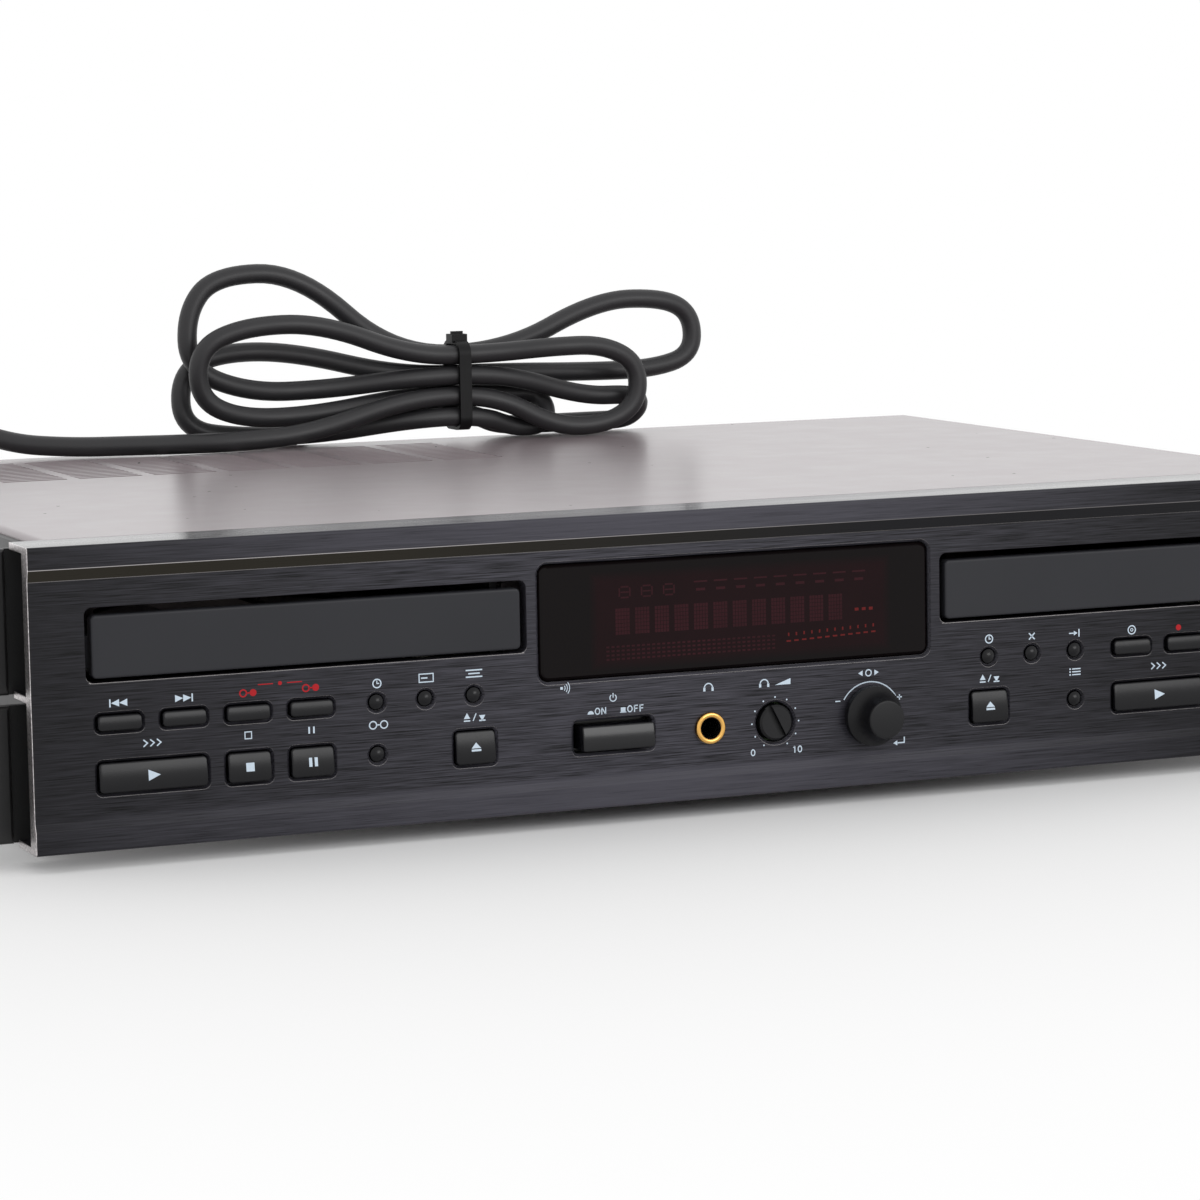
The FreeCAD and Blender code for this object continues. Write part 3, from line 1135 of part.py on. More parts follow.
def rounded_runs(route):
    """Straight runs joined by tangent arcs, each as large as its two runs allow."""
    places = [Vector(*place) for place in route]
    pieces = []
    here = places[0]
    for before, corner, after in zip(places, places[1:], places[2:]):
        way, final = (corner - before).normalize(), (after - corner).normalize()
        reach = 0.45 * min((corner - before).Length, (after - corner).Length)
        start, stop = corner - way * reach, corner + final * reach
        pieces.append(arc_edge(here, way, start))
        pieces.append(arc_edge(start, way, stop))
        here = stop
    last = places[-1]
    pieces.append(arc_edge(here, (last - here).normalize(), last))
    return pieces


def tube(label, pieces, way):
    """Round tube along a path of edges; prints its tightest bend and compares volume with length."""
    path = Part.Wire([edge for edge, radius, length in pieces])
    section = Part.Wire(Part.makeCircle(size("cord_radius"), path.OrderedVertexes[0].Point, way))
    shell = Part.BRepOffsetAPI.MakePipeShell(path)
    shell.add(section)
    shell.build()
    shell.makeSolid()
    length = sum(length for edge, radius, length in pieces)
    expected = math.pi * size("cord_radius") ** 2 * length
    bends = [radius for edge, radius, length in pieces if radius < math.inf]
    print(label, "length", round(length), "tightest bend", round(min(bends), 1),
          "volume ratio", round(shell.shape().Volume / expected, 4))
    return node(label, solid(shell.shape(), label))


def least_gap(pieces):
    """Smallest gap between turns of one tube, on points a millimetre and a half apart along its path."""
    points = []
    for edge, radius, length in pieces:
        count = max(2, int(length / 1.5))
        points += edge.discretize(count + 1)[:-1]
    diameter = 2 * size("cord_radius")
    skip = int(4 * diameter / 1.5)
    least = math.inf
    for index, point in enumerate(points):
        for other in points[index + skip:]:
            if abs(point.x - other.x) < 2 * diameter:
                least = min(least, point.distanceToPoint(other) - diameter)
    return least


def mains_cord():
    """The lead in three tubes: to the hank, the hank itself and the tail to the plug."""
    lead = rounded_runs(LEAD_ROUTE)
    tube("mains_lead", lead, Vector(0, 1, 0))
    stations = hank_stations()
    hank = []
    for (start, way), (stop, final) in zip(stations, stations[1:]):
        hank += biarc(start, way, stop, final)
    tube("cord_hank", hank, stations[0][1])
    print("least gap between the hank's turns", round(least_gap(hank), 2))
    place, way = stations[-1]
    run = place + way * (4 * size("cord_radius"))
    tail = rounded_runs([tuple(place), tuple(run)] + TAIL_ROUTE)
    tube("cord_tail", tail, way)


def cord_tie():
    """Band round the hank's waist, with a clasp on top and a cut end."""
    gap = "(cord_radius + fit_gap)"
    body = new_body("cord_tie")
    band = sketch_on(body, "YZ_Plane", "waist_x - tie_width / 2")
    level = "waist_level + 1.5 * waist_row"
    across, rise = f"(waist_column + 2 * {gap})", f"(3 * waist_row + 2 * {gap})"
    draw_rounded(band, "waist_y", level, across, rise, gap)
    draw_rounded(band, "waist_y", level, f"{across} + 2 * tie_wall", f"{rise} + 2 * tie_wall", f"{gap} + tie_wall")
    pad(body, band, "tie_width")
    top = f"waist_level + 3 * waist_row + {gap}"
    head = block("waist_x - tie_head / 2", "waist_y - tie_head / 2", f"{top} + tie_wall / 2", "tie_head",
                 "tie_head", "tie_head / 2")
    stub = block("waist_x - tie_width / 2", "waist_y - tie_wall / 2", f"{top} + tie_wall / 2", "tie_width",
                 "tie_wall", "tie_head / 2 + tie_stub")
    return node("cord_tie", join(body, head, stub))


def plug_section(x, width, height):
    """Closed outline of the plug across its axis: a flat oblong with half-round sides."""
    flat, round_side = (width - height) / 2, height / 2
    lower, upper = Vector(x, -flat, -round_side), Vector(x, flat, -round_side)
    edges = [Part.LineSegment(lower, upper), Part.Arc(upper, Vector(x, flat + round_side, 0),
                                                      Vector(x, flat, round_side)),
             Part.LineSegment(Vector(x, flat, round_side), Vector(x, -flat, round_side)),
             Part.Arc(Vector(x, -flat, round_side), Vector(x, -flat - round_side, 0), lower)]
    return Part.Wire([edge.toShape() for edge in edges])


def mains_plug():
    """Flat moulded plug with two round pins, lying where the tail ends."""
    neck, height, width = size("plug_neck"), size("plug_height"), size("plug_width")
    shoulder, length = size("plug_shoulder"), size("plug_length")
    grip = Part.makeLoft([plug_section(0, neck + 0.2, neck), plug_section(shoulder / 2, neck + 1.2, neck),
                          plug_section(shoulder, width - 4, height - 2), plug_section(shoulder + 4, width, height)],
                         True, True)
    front = Part.Face(plug_section(shoulder + 4, width, height)).extrude(Vector(length - shoulder - 4, 0, 0))
    moulding = solid(grip.fuse(front).removeSplitter(), "Moulding")
    pins = []
    for hand in (-1, 1):
        place = f"{hand} * pin_spacing / 2"
        pins.append(rod("plug_length", place, "0", "pin_radius", "pin_length - pin_radius / 2", "x"))
        pins.append(cone("plug_length + pin_length - pin_radius / 2", place, "0", "pin_radius",
                         "pin_radius / 2", "pin_radius / 2", "x"))
    whole = join(moulding, *pins)
    last, end = Vector(*TAIL_ROUTE[-2]), Vector(*TAIL_ROUTE[-1])
    placed = gather(whole)
    placed.Placement.Rotation = Rotation(Vector(1, 0, 0), end - last)
    placed.Placement.Base = end
    return node("mains_plug", gather(placed))


front_panel()
keys()
display_window()
for SIDE, TAG in ((-1, "left"), (1, "right")):
    tray_door(SIDE, TAG)
    disc_tray(SIDE, TAG)
    tray_gear(SIDE, TAG)
    drive_frame(SIDE, TAG)
    turntable(SIDE, TAG)
    pickup_sled(SIDE, TAG)
    rack_ear(SIDE, TAG)
for piece in (top_cover, bottom_chassis, rear_panel, rear_sockets, feet, case_screws, control_board,
              phones_jack, level_knob, jog, main_board, mains_transformer, cord_relief, mains_cord, cord_tie,
              mains_plug):
    piece()
doc.recompute()
for item in doc.Objects:
    faults = {"Invalid", "Error"} & set(item.State)
    if faults:
        raise RuntimeError(f"{item.Name} failed: {faults}")
for item in NODES:
    if item.Shape.isNull() or not item.Shape.isValid():
        raise RuntimeError(f"{item.Label} has no valid shape")
os.makedirs("parts", exist_ok=True)
for item in NODES:
    item.Shape.exportStep(f"parts/{item.Label}.step")
print(len(NODES), "pieces written")
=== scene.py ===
"""Looks of a rack-mount CD recorder: finishes for its CAD pieces, smooth caps, printed symbols and
its lead.

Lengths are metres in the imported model's frame. Places on the panel are written in millimetres,
from the middle of the panel's lower front edge, and panel_point() brings them into the frame.
"""

import math

import bpy
import numpy as np
from bpy.props import FloatProperty, FloatVectorProperty, PointerProperty
from mathutils import Matrix, Vector

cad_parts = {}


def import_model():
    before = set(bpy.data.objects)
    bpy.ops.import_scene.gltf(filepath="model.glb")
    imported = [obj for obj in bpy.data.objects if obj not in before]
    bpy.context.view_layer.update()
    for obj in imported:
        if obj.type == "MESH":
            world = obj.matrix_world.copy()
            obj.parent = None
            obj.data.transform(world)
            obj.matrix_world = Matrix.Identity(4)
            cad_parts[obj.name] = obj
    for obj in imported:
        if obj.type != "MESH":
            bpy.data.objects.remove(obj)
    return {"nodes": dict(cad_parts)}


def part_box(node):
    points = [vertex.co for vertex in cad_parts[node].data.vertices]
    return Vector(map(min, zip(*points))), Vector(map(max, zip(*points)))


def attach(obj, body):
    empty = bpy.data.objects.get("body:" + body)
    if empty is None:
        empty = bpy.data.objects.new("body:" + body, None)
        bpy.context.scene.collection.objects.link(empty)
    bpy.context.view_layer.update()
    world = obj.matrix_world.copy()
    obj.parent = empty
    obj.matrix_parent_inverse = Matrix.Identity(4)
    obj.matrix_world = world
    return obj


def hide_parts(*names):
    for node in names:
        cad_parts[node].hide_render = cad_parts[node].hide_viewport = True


bl_info = {
    "name": "CD recorder looks",
    "version": (1, 0, 0),
    "blender": (4, 5, 0),
    "location": "View3D > Sidebar > Recorder",
    "description": "Finishes, keys, symbols, display and mains lead of a rack-mount CD recorder",
    "category": "Object",
}

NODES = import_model()["nodes"]
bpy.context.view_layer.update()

PANEL_ORIGIN = np.array((0.0, -0.1494, 0.005))
SIDES = ((-1, "left"), (1, "right"))

# Depths in millimetres behind the panel's lower front edge: its face, a key's front and its seat.
FACE, KEY_FRONT, KEY_SEAT = 1.0, -0.2, 6.3
# Form of the keys in millimetres; the brow is a share of a key's height.
KEY_CORNER, KEY_EDGE, KEY_CROWN, KEY_BROW = 1.2, 0.45, 0.1, 0.12
KEY_SKIRT = [(1.3, KEY_SEAT + 1), (1.3, KEY_SEAT), (0, KEY_SEAT)]
# Angle in degrees up to which a cap's faces blend.
BLEND = 40
# Width of most of the printed lines in millimetres.
INK = 0.36

# Levels on the panel in millimetres: its flat face, the slope of the upper lip with its crease
# and turned edge, the part with holes, the lip's top and the drawer windows.
FLAT, SLOPE, CREASE, TURNED = (10, 81.5), (78.1, 81.4), (78.0, 78.14), (81.36, 81.56)
HOLES, TOP, WINDOWS = (13.5, 81), (87.9, 90), (48.3, 70.0)
# How far the ends of the windows and of the panel are from its middle, in metres.
WINDOW_NEAR, WINDOW_FAR, PANEL_END = 0.0692, 0.202, 0.21885
# Places on the panel in millimetres: headphone socket, level knob, jog knob and power key.
JACK, LEVEL, JOG, POWER = (-9.7, 21.5), (12.15, 21.56), (44.2, 21.6), (-41.0, 21.6)


def panel_point(x, y, z):
    """A place on the panel, in millimetres, as metres in the model's frame."""
    return tuple(PANEL_ORIGIN + np.array((x, y, z)) / 1000)


# ---------- settings

def colour_setting(name, description, default):
    """Setting for a colour."""
    return FloatVectorProperty(name=name, description=description, subtype="COLOR", size=3, min=0,
                               max=1, default=default)


def angle_setting(name, description, degrees):
    """Setting for an angle, given in degrees."""
    return FloatProperty(name=name, description=description, subtype="ANGLE",
                         default=math.radians(degrees))


class RecorderStage(bpy.types.PropertyGroup):
    """Floor, light and camera."""
    floor_colour: colour_setting("Floor", "Colour of the floor", (0.97, 0.97, 0.97))
    floor_reach: FloatProperty(
        name="Paper", description="Distance over which the floor paper blends into the white room",
        subtype="DISTANCE", unit="LENGTH", default=0.68, min=0.5)
    world_strength: FloatProperty(
        name="Room light", description="Strength of the light from all round", default=0.76, min=0)
    lamp_power: FloatProperty(
        name="Soft box", description="Power of the soft box in front of the recorder, to its right",
        subtype="POWER", default=5.0, min=0)
    camera_place: FloatVectorProperty(
        name="Camera place", description="Where the camera stands", subtype="TRANSLATION",
        unit="LENGTH", size=3, default=(-0.5110, -1.27547, 0.21241), precision=5)
    camera_azimuth: angle_setting("Azimuth", "Turn of the view from +Y towards +X", 22.4739)
    camera_elevation: angle_setting("Elevation", "Rise of the view above the level", -6.7738)
    camera_roll: angle_setting("Roll", "Turn of the picture about the view", -1.0131)
    camera_lens: FloatProperty(
        name="Lens", description="Focal length on a 36 mm sensor, in millimetres", default=123.88,
        min=1)


class RecorderFinishes(bpy.types.PropertyGroup):
    """Colours of the recorder's surfaces."""
    panel_colour: colour_setting("Panel", "Black anodised panel", (0.0068, 0.0066, 0.0082))
    # The cut-end colour is also used for the painted highlights on the panel's edges.
    cut_and_highlight_colour: colour_setting("Cut ends", "Bare metal where the panel was cut", (0.74, 0.70, 0.70))
    cover_colour: colour_setting("Cover", "Painted cover", (0.305, 0.254, 0.268))
    drawer_colour: colour_setting("Drawers", "Moulded drawer fronts", (0.0225, 0.0230, 0.0270))
    key_colour: colour_setting("Keys", "Moulded keys", (0.0032, 0.0032, 0.0044))
    power_colour: colour_setting("Power key", "Metallic grey power key", (0.004, 0.004, 0.0052))
    knob_colour: colour_setting("Knobs", "Moulded knobs", (0.0042, 0.0042, 0.0052))
    window_colour: colour_setting("Display window", "Smoked window", (0.0030, 0.0016, 0.0018))
    ghost_colour: colour_setting("Resting segments", "Display segments that aren't lit",
                                 (0.026, 0.0034, 0.0062))
    gold_colour: colour_setting("Jack ring", "Gold plate", (0.83, 0.47, 0.13))
    print_colour: colour_setting("Print", "White printed symbols", (0.56, 0.66, 0.76))
    red_print_colour: colour_setting("Red print", "Red printed symbols", (0.40, 0.006, 0.011))
    sheath_colour: colour_setting("Sheath", "Sheath of the mains lead", (0.022, 0.0215, 0.0235))


class RecorderLead(bpy.types.PropertyGroup):
    """The mains lead."""
    diameter: FloatProperty(
        name="Diameter", description="Thickness of the lead", subtype="DISTANCE", default=0.007,
        min=0.001, precision=4)
    length: FloatProperty(
        name="Length", description="Length of the lead from its relief to its plug",
        subtype="DISTANCE", default=1.996, min=0.1, precision=3)


# ---------- surfaces

def make_piece(name, body, vertices, faces, material, slot=None, smooth=None):
    """Mesh piece from metres in the frame, riding on a body; faces blend up to the smooth angle."""
    mesh = bpy.data.meshes.new(name)
    mesh.from_pydata(np.asarray(vertices, float).tolist(), [], faces)
    mesh.materials.append(material)
    if smooth is not None:
        mesh.polygons.foreach_set("use_smooth", np.ones(len(mesh.polygons), bool))
        mesh.set_sharp_from_angle(angle=math.radians(smooth))
    mesh.update()
    piece = bpy.data.objects.new(name, mesh)
    bpy.context.scene.collection.objects.link(piece)
    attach(piece, body)
    return piece


def loop_faces(rings, count):
    """Quads between rings of count points each, and a fan to the pole at either end.

    Ring i's points are i*count .. i*count+count-1, and the two poles follow the last ring.
    """
    index = np.arange(rings * count).reshape(rings, count)
    ahead = np.roll(index, -1, axis=1)
    quads = np.stack([index[:-1], ahead[:-1], ahead[1:], index[1:]], axis=-1).reshape(-1, 4)
    first, last = rings * count, rings * count + 1
    start = np.stack([np.full(count, first), ahead[0], index[0]], axis=-1)
    stop = np.stack([np.full(count, last), index[-1], ahead[-1]], axis=-1)
    return quads.tolist() + start.tolist() + stop.tolist()


def rounded_outline(half_width, half_height, corner, per_corner=8, per_side=9):
    """Round-cornered rectangle, anticlockwise: each corner is a quarter circle of radius corner,
    and the points of a straight side lie at even shares of the way to the next corner's start.
    """
    angles = np.linspace(0, math.pi / 2, per_corner + 1)
    turns = np.arange(4)[:, None] * math.pi / 2 + angles[None, :]
    sign_x = np.array([1, -1, -1, 1])[:, None]
    sign_z = np.array([1, 1, -1, -1])[:, None]
    x = sign_x * (half_width - corner) + corner * np.cos(turns)
    z = sign_z * (half_height - corner) + corner * np.sin(turns)
    corners = np.stack([x, z], axis=2)
    share = np.linspace(0, 1, per_side + 2)[None, 1:-1, None]
    sides = corners[:, -1:] * (1 - share) + np.roll(corners[:, :1], -1, axis=0) * share
    return np.concatenate([corners, sides], axis=1).reshape(-1, 2)


def crowned(z, height, crown, brow):
    """Depth of a cap's face: crown*(2z/height)^2, and towards its top brow*(z/height + 1/2)^2.2."""
    rise = np.clip(z / height + 0.5, 0, 1)
    return crown * (2 * z / height) ** 2 + brow * rise ** 2.2


def key_relief(z, height):
    """Depth of a key's face below its front plane, whose brow grows with its height."""
    return crowned(z, height, KEY_CROWN, KEY_BROW * height)


FACE_SHARES = (0.96, 0.88, 0.78, 0.66, 0.54, 0.42, 0.3, 0.15)


def cap_surface(x, z, width, height, corner, edge, crown, front, skirt, brow=0.0):
    """Moulded cap: outline rings go up its side, over a round edge and to the middle of its face.

    A ring with inset i has half sides less by i and a corner radius of max(corner - i, small). On
    the edge the inset is edge*(1-cos t) and the depth edge*(1-sin t). On the face the rings shrink
    to a point. From the edge on, crowned() is added to the depth. The skirt is a list of (outset,
    depth) behind the edge, from the back.
    """
    rings, depths = [], []
    for outset, depth in skirt:
        rings.append(rounded_outline(width / 2 + outset, height / 2 + outset, corner + outset))
        depths.append(np.full(len(rings[-1]), depth))
    for turn in np.linspace(0, math.pi / 2, 6):
        inset = edge * (1 - math.cos(turn))
        ring = rounded_outline(width / 2 - inset, height / 2 - inset, max(corner - inset, 0.05))
        rings.append(ring)
        level = front + edge * (1 - math.sin(turn))
        depths.append(level + crowned(ring[:, 1], height, crown, brow))
    inner = rings[-1]
    for share in FACE_SHARES:
        rings.append(inner * share)
        depths.append(front + crowned(rings[-1][:, 1], height, crown, brow))
    flat = np.concatenate(rings)
    points = np.stack([x + flat[:, 0], np.concatenate(depths), z + flat[:, 1]], axis=1)
    poles = np.array([[x, skirt[0][1], z], [x, front + crowned(0.0, height, crown, brow), z]])
    world = PANEL_ORIGIN + np.concatenate([points, poles]) / 1000
    return world, loop_faces(len(rings), len(rings[0]))


def swept(x, z, depths, radii, count):
    """Circles about an axis along Y, each of count points with its own depth and radius."""
    angles = np.linspace(0, 2 * math.pi, count, endpoint=False)
    across, up = radii[:, None] * np.cos(angles), radii[:, None] * np.sin(angles)
    deep = np.repeat(depths[:, None], count, axis=1)
    return np.stack([x + across, deep, z + up], axis=2).reshape(-1, 3)


def lathe_surface(x, z, profile, count):
    """Surface of revolution about an axis along Y: each (depth, radius) of the profile sweeps a
    circle of count points, and its first and last depths are poles.
    """
    depths, radii = np.array(profile[1:-1]).T
    poles = np.array([[x, profile[0][0], z], [x, profile[-1][0], z]])
    points = np.concatenate([swept(x, z, depths, radii, count), poles])
    return PANEL_ORIGIN + points / 1000, loop_faces(len(depths), count)


def bead_surface(x, z, depth, inner, outer, rise, count=64, steps=12):
    """Ring with a round face: its section is half an ellipse from the inner to the outer radius,
    rise high, closed by a straight back, and it sweeps a circle about an axis along Y.
    """
    turn = np.linspace(0, math.pi, steps)
    radii = (inner + outer) / 2 - (outer - inner) / 2 * np.cos(turn)
    points = swept(x, z, depth - rise * np.sin(turn), radii, count)
    index = np.arange(steps * count).reshape(steps, count)
    below, ahead = np.roll(index, -1, axis=0), np.roll(index, -1, axis=1)
    faces = np.stack([index, ahead, np.roll(below, -1, axis=1), below], axis=-1).reshape(-1, 4)
    return PANEL_ORIGIN + points / 1000, faces.tolist()


def quarter(depth, radius, size, steps=5):
    """Profile of a round edge: a quarter circle from the side (depth+size) to the end (depth)."""
    turn = np.linspace(0, math.pi / 2, steps)
    depths = depth + size * (1 - np.sin(turn))
    return list(zip(depths, radius - size * (1 - np.cos(turn))))


# ---------- printed symbols

def arc(x, z, radius, start, stop, steps=20):
    """Points on a circle from one angle to another, in degrees."""
    turn = np.radians(np.linspace(start, stop, steps))
    return np.stack([x + radius * np.cos(turn), z + radius * np.sin(turn)], axis=1)


def shape_stroke(points, width=INK, closed=False):
    """Ribbon of even width along a path: each point moves both ways along its sides' mitre."""
    path = np.asarray(points, float)
    ahead = np.roll(path, -1, axis=0) - path
    behind = path - np.roll(path, 1, axis=0)
    if not closed:
        ahead[-1] = behind[-1]
        behind[0] = ahead[0]
    ahead /= np.linalg.norm(ahead, axis=1)[:, None]
    behind /= np.linalg.norm(behind, axis=1)[:, None]
    side_a = np.stack([-ahead[:, 1], ahead[:, 0]], axis=1)
    side_b = np.stack([-behind[:, 1], behind[:, 0]], axis=1)
    mitre = side_a + side_b
    mitre /= np.maximum((mitre * side_a).sum(axis=1), 0.6)[:, None]
    left, right = path + mitre * width / 2, path - mitre * width / 2
    count = len(path)
    index = np.arange(count if closed else count - 1)
    after = (index + 1) % count
    faces = np.stack([index + count, after + count, after, index], axis=-1)
    return np.concatenate([left, right]), faces.tolist()


def shape_fill(points):
    """Filled outline, anticlockwise."""
    path = np.asarray(points, float)
    return path, [list(range(len(path)))]


def ring(x, z, radius, width=INK):
    """Closed round stroke."""
    return shape_stroke(arc(x, z, radius, 0, 360, 25)[:-1], width, True)


def oval(half_width, half_height):
    """Oval drawn as a line about the symbol's middle."""
    return shape_stroke(arc(0, 0, 1, 0, 360, 21)[:-1] * (half_width, half_height), 0.34, True)


def spot(x, z, radius):
    """Filled round spot."""
    return shape_fill(arc(x, z, radius, 0, 360, 17)[:-1])


def corners(x, z, width, height):
    """Corners of a rectangle about its middle, anticlockwise."""
    w, h = width / 2, height / 2
    return [(x - w, z - h), (x + w, z - h), (x + w, z + h), (x - w, z + h)]


def bar(x, z, width, height):
    """Filled rectangle about its middle."""
    return shape_fill(corners(x, z, width, height))


def triangle(x, z, size, way):
    """Filled triangle that points along an angle in degrees."""
    return shape_fill(arc(x, z, size, way, way + 360, 4)[:-1])


def arrow(tip, back, half):
    """Arrow head on the symbol's middle line, from its tip to its back, of a given half height."""
    points = [(tip, 0), (back, half), (back, -half)]
    return shape_fill(points if tip > back else points[::-1])


def outlined(width, height):
    """Rectangle drawn as a line about the symbol's middle."""
    return shape_stroke(corners(0, 0, width, height), 0.32, True)


SYMBOLS = {
    "chevrons": [shape_stroke([(x - 0.6, 1.0), (x + 0.6, 0), (x - 0.6, -1.0)]) for x in (-2, 0, 2)],
    "square": [outlined(2.2, 2.2)],
    "two_bars": [bar(-0.8, 0, 0.55, 2.2), bar(0.8, 0, 0.55, 2.2)],
    "skip_back": [bar(-2.6, 0, 0.42, 2.3), arrow(-2.3, 0.1, 1.05), arrow(0.1, 2.5, 1.05)],
    "skip_on": [bar(2.6, 0, 0.42, 2.3), arrow(2.3, -0.1, 1.05), arrow(-0.1, -2.5, 1.05)],
    "clock": [ring(0, 0, 1.25), shape_stroke([(0, 0.9), (0, 0), (0.7, 0)], 0.3)],
    "screen": [outlined(4.4, 2.4), bar(-0.6, 0, 2.0, 0.4)],
    "page": [bar(0, y, 5.2 if y else 3.6, 0.4) for y in (-1.0, 0, 1.0)],
    "two_discs": [ring(-1.7, 0, 1.1), ring(1.7, 0, 1.1), bar(0, 0, 1.0, INK)],
    "open_close": [triangle(-2.4, 0.2, 1.15, 90), bar(-2.4, -1.0, 2.0, 0.4),
                   shape_stroke([(-0.5, -1.1), (0.5, 1.1)], 0.32),
                   triangle(2.4, -0.1, 1.15, 270), bar(2.4, -1.1, 2.0, 0.4)],
    "sensor": [bar(-2.0, 0, 1.0, 1.0),
               *(shape_stroke(arc(-2.0, 0, reach, -40, 40, 8), 0.3) for reach in (1.4, 2.3, 3.2))],
    "power": [shape_stroke(arc(0, -0.1, 1.15, 125, 415, 22), 0.34), bar(0, 0.75, INK, 1.5)],
    "headphones": [shape_stroke(arc(0, -0.3, 1.35, 0, 180, 14)), bar(-1.35, -0.75, 0.7, 1.1),
                   bar(1.35, -0.75, 0.7, 1.1)],
    "wedge": [shape_fill([(-2.6, -0.9), (2.6, -0.9), (2.6, 0.9)])],
    "turn": [ring(0, 0, 0.95), triangle(-2.5, 0, 1.0, 180), triangle(2.5, 0, 1.0, 0)],
    "press_in": [shape_stroke([(1.5, 1.2), (1.5, -0.4), (-0.6, -0.4)]),
                 triangle(-1.1, -0.4, 0.85, 180)],
    "cross": [shape_stroke([(-1, -1), (1, 1)], 0.4), shape_stroke([(-1, 1), (1, -1)], 0.4)],
    "into": [bar(-0.9, 0, 1.8, INK), triangle(0.3, 0, 0.85, 0), bar(1.7, 0, 0.4, 2.4)],
    "list": [*(bar(0.4, y, 3.0, INK) for y in (-0.9, 0, 0.9)),
             *(spot(-1.8, y, 0.28) for y in (-0.9, 0, 0.9))],
    "disc": [ring(0, 0, 1.3), ring(0, 0, 0.42, 0.26)],
    "key_down": [shape_fill(arc(0, -0.9, 1.15, 0, 180, 10))],
    "key_up": [bar(0, -0.1, 1.7, 1.5), bar(0, -0.95, 2.3, 0.3)],
    "O": [oval(0.72, 0.9)],
    "N": [bar(-0.62, 0, 0.34, 2.14), bar(0.62, 0, 0.34, 2.14),
          shape_fill([(-0.79, 1.07), (0.42, -1.07), (0.79, -1.07), (-0.42, 1.07)])],
    "F": [bar(-0.5, 0, 0.34, 2.14), bar(0.05, 0.9, 1.1, 0.34), bar(0, 0.0, 0.95, 0.34)],
    "zero": [oval(0.6, 0.9)],
    "one": [bar(0, 0, 0.34, 2.1), shape_stroke([(0, 0.95), (-0.5, 0.5)], 0.3)],
    "minus": [bar(0, 0, 1.7, INK)],
    "plus": [bar(0, 0, 1.7, INK), bar(0, 0, INK, 1.7)],
    "play": [arrow(1.9, -1.7, 1.6)],
    "stop": [bar(0, 0, 2.5, 2.5)],
    "pause": [bar(-0.85, 0, 0.95, 2.6), bar(0.85, 0, 0.95, 2.6)],
    "eject": [shape_fill([(-1.5, -0.35), (1.5, -0.35), (0, 1.35)]), bar(0, -0.95, 3.0, 0.6)],
    "red_spot": [spot(0, 0, 0.95)],
    "red_pair": [ring(-1.5, 0, 1.0, 0.4), bar(0, 0, 0.8, 0.4), spot(1.5, 0, 1.05)],
    "red_line": [bar(-4.4, 0, 4.6, 0.3), bar(4.4, 0, 4.6, 0.3), spot(0, 0, 0.6)],
}

WHITE_PRINTS = [
    ("skip_back", -193.4, 42.3), ("skip_on", -174.25, 42.3), ("chevrons", -183.9, 30.1),
    ("square", -155.2, 30.1, 0.9), ("two_bars", -136.0, 30.2, 0.9), ("clock", -115.6, 42.4),
    ("screen", -100.3, 43.0), ("page", -85.3, 43.3), ("two_discs", -115.4, 30.2),
    ("open_close", -85.4, 30.3), ("sensor", -56.0, 36.9, 0.8), ("power", -41.1, 33.0, 0.9),
    ("key_down", -48.4, 29.2, 0.9), ("O", -46.2, 29.2), ("N", -44.2, 29.2),
    ("key_up", -37.9, 29.2, 0.9), ("O", -35.7, 29.2), ("F", -33.7, 29.2), ("F", -31.9, 29.2),
    ("headphones", -9.9, 34.0), ("headphones", 8.6, 33.9), ("wedge", 14.8, 33.9),
    ("zero", 4.6, 12.8), ("one", 18.6, 12.8), ("zero", 20.3, 12.8), ("turn", 43.8, 34.6),
    ("minus", 33.3, 26.5), ("plus", 54.3, 26.4), ("press_in", 54.2, 12.6, 1.1),
    ("clock", 85.5, 42.3), ("cross", 100.5, 42.2), ("into", 115.5, 42.2), ("list", 115.8, 30.0),
    ("open_close", 85.6, 30.0), ("disc", 136.1, 41.9), ("skip_back", 174.25, 42.0),
    ("skip_on", 193.4, 42.0), ("chevrons", 145.7, 29.9), ("square", 174.25, 29.9, 0.9),
    ("two_bars", 193.4, 29.9, 0.9),
]
RED_PRINTS = [("red_pair", -154.9, 42.4), ("red_pair", -135.9, 42.6), ("red_line", -145.2, 44.6),
              ("red_spot", 153.0, 41.6)]
KEY_PRINTS = {
    "play_key_left": ("play", -183.83, 20.95), "stop_key_left": ("stop", -155.1, 20.95),
    "pause_key_left": ("pause", -135.95, 20.95), "open_key_left": ("eject", -85.4, 21.5),
    "play_key_right": ("play", 145.53, 20.95), "stop_key_right": ("stop", 174.25, 20.95),
    "pause_key_right": ("pause", 193.4, 20.95), "open_key_right": ("eject", 85.4, 21.5),
}


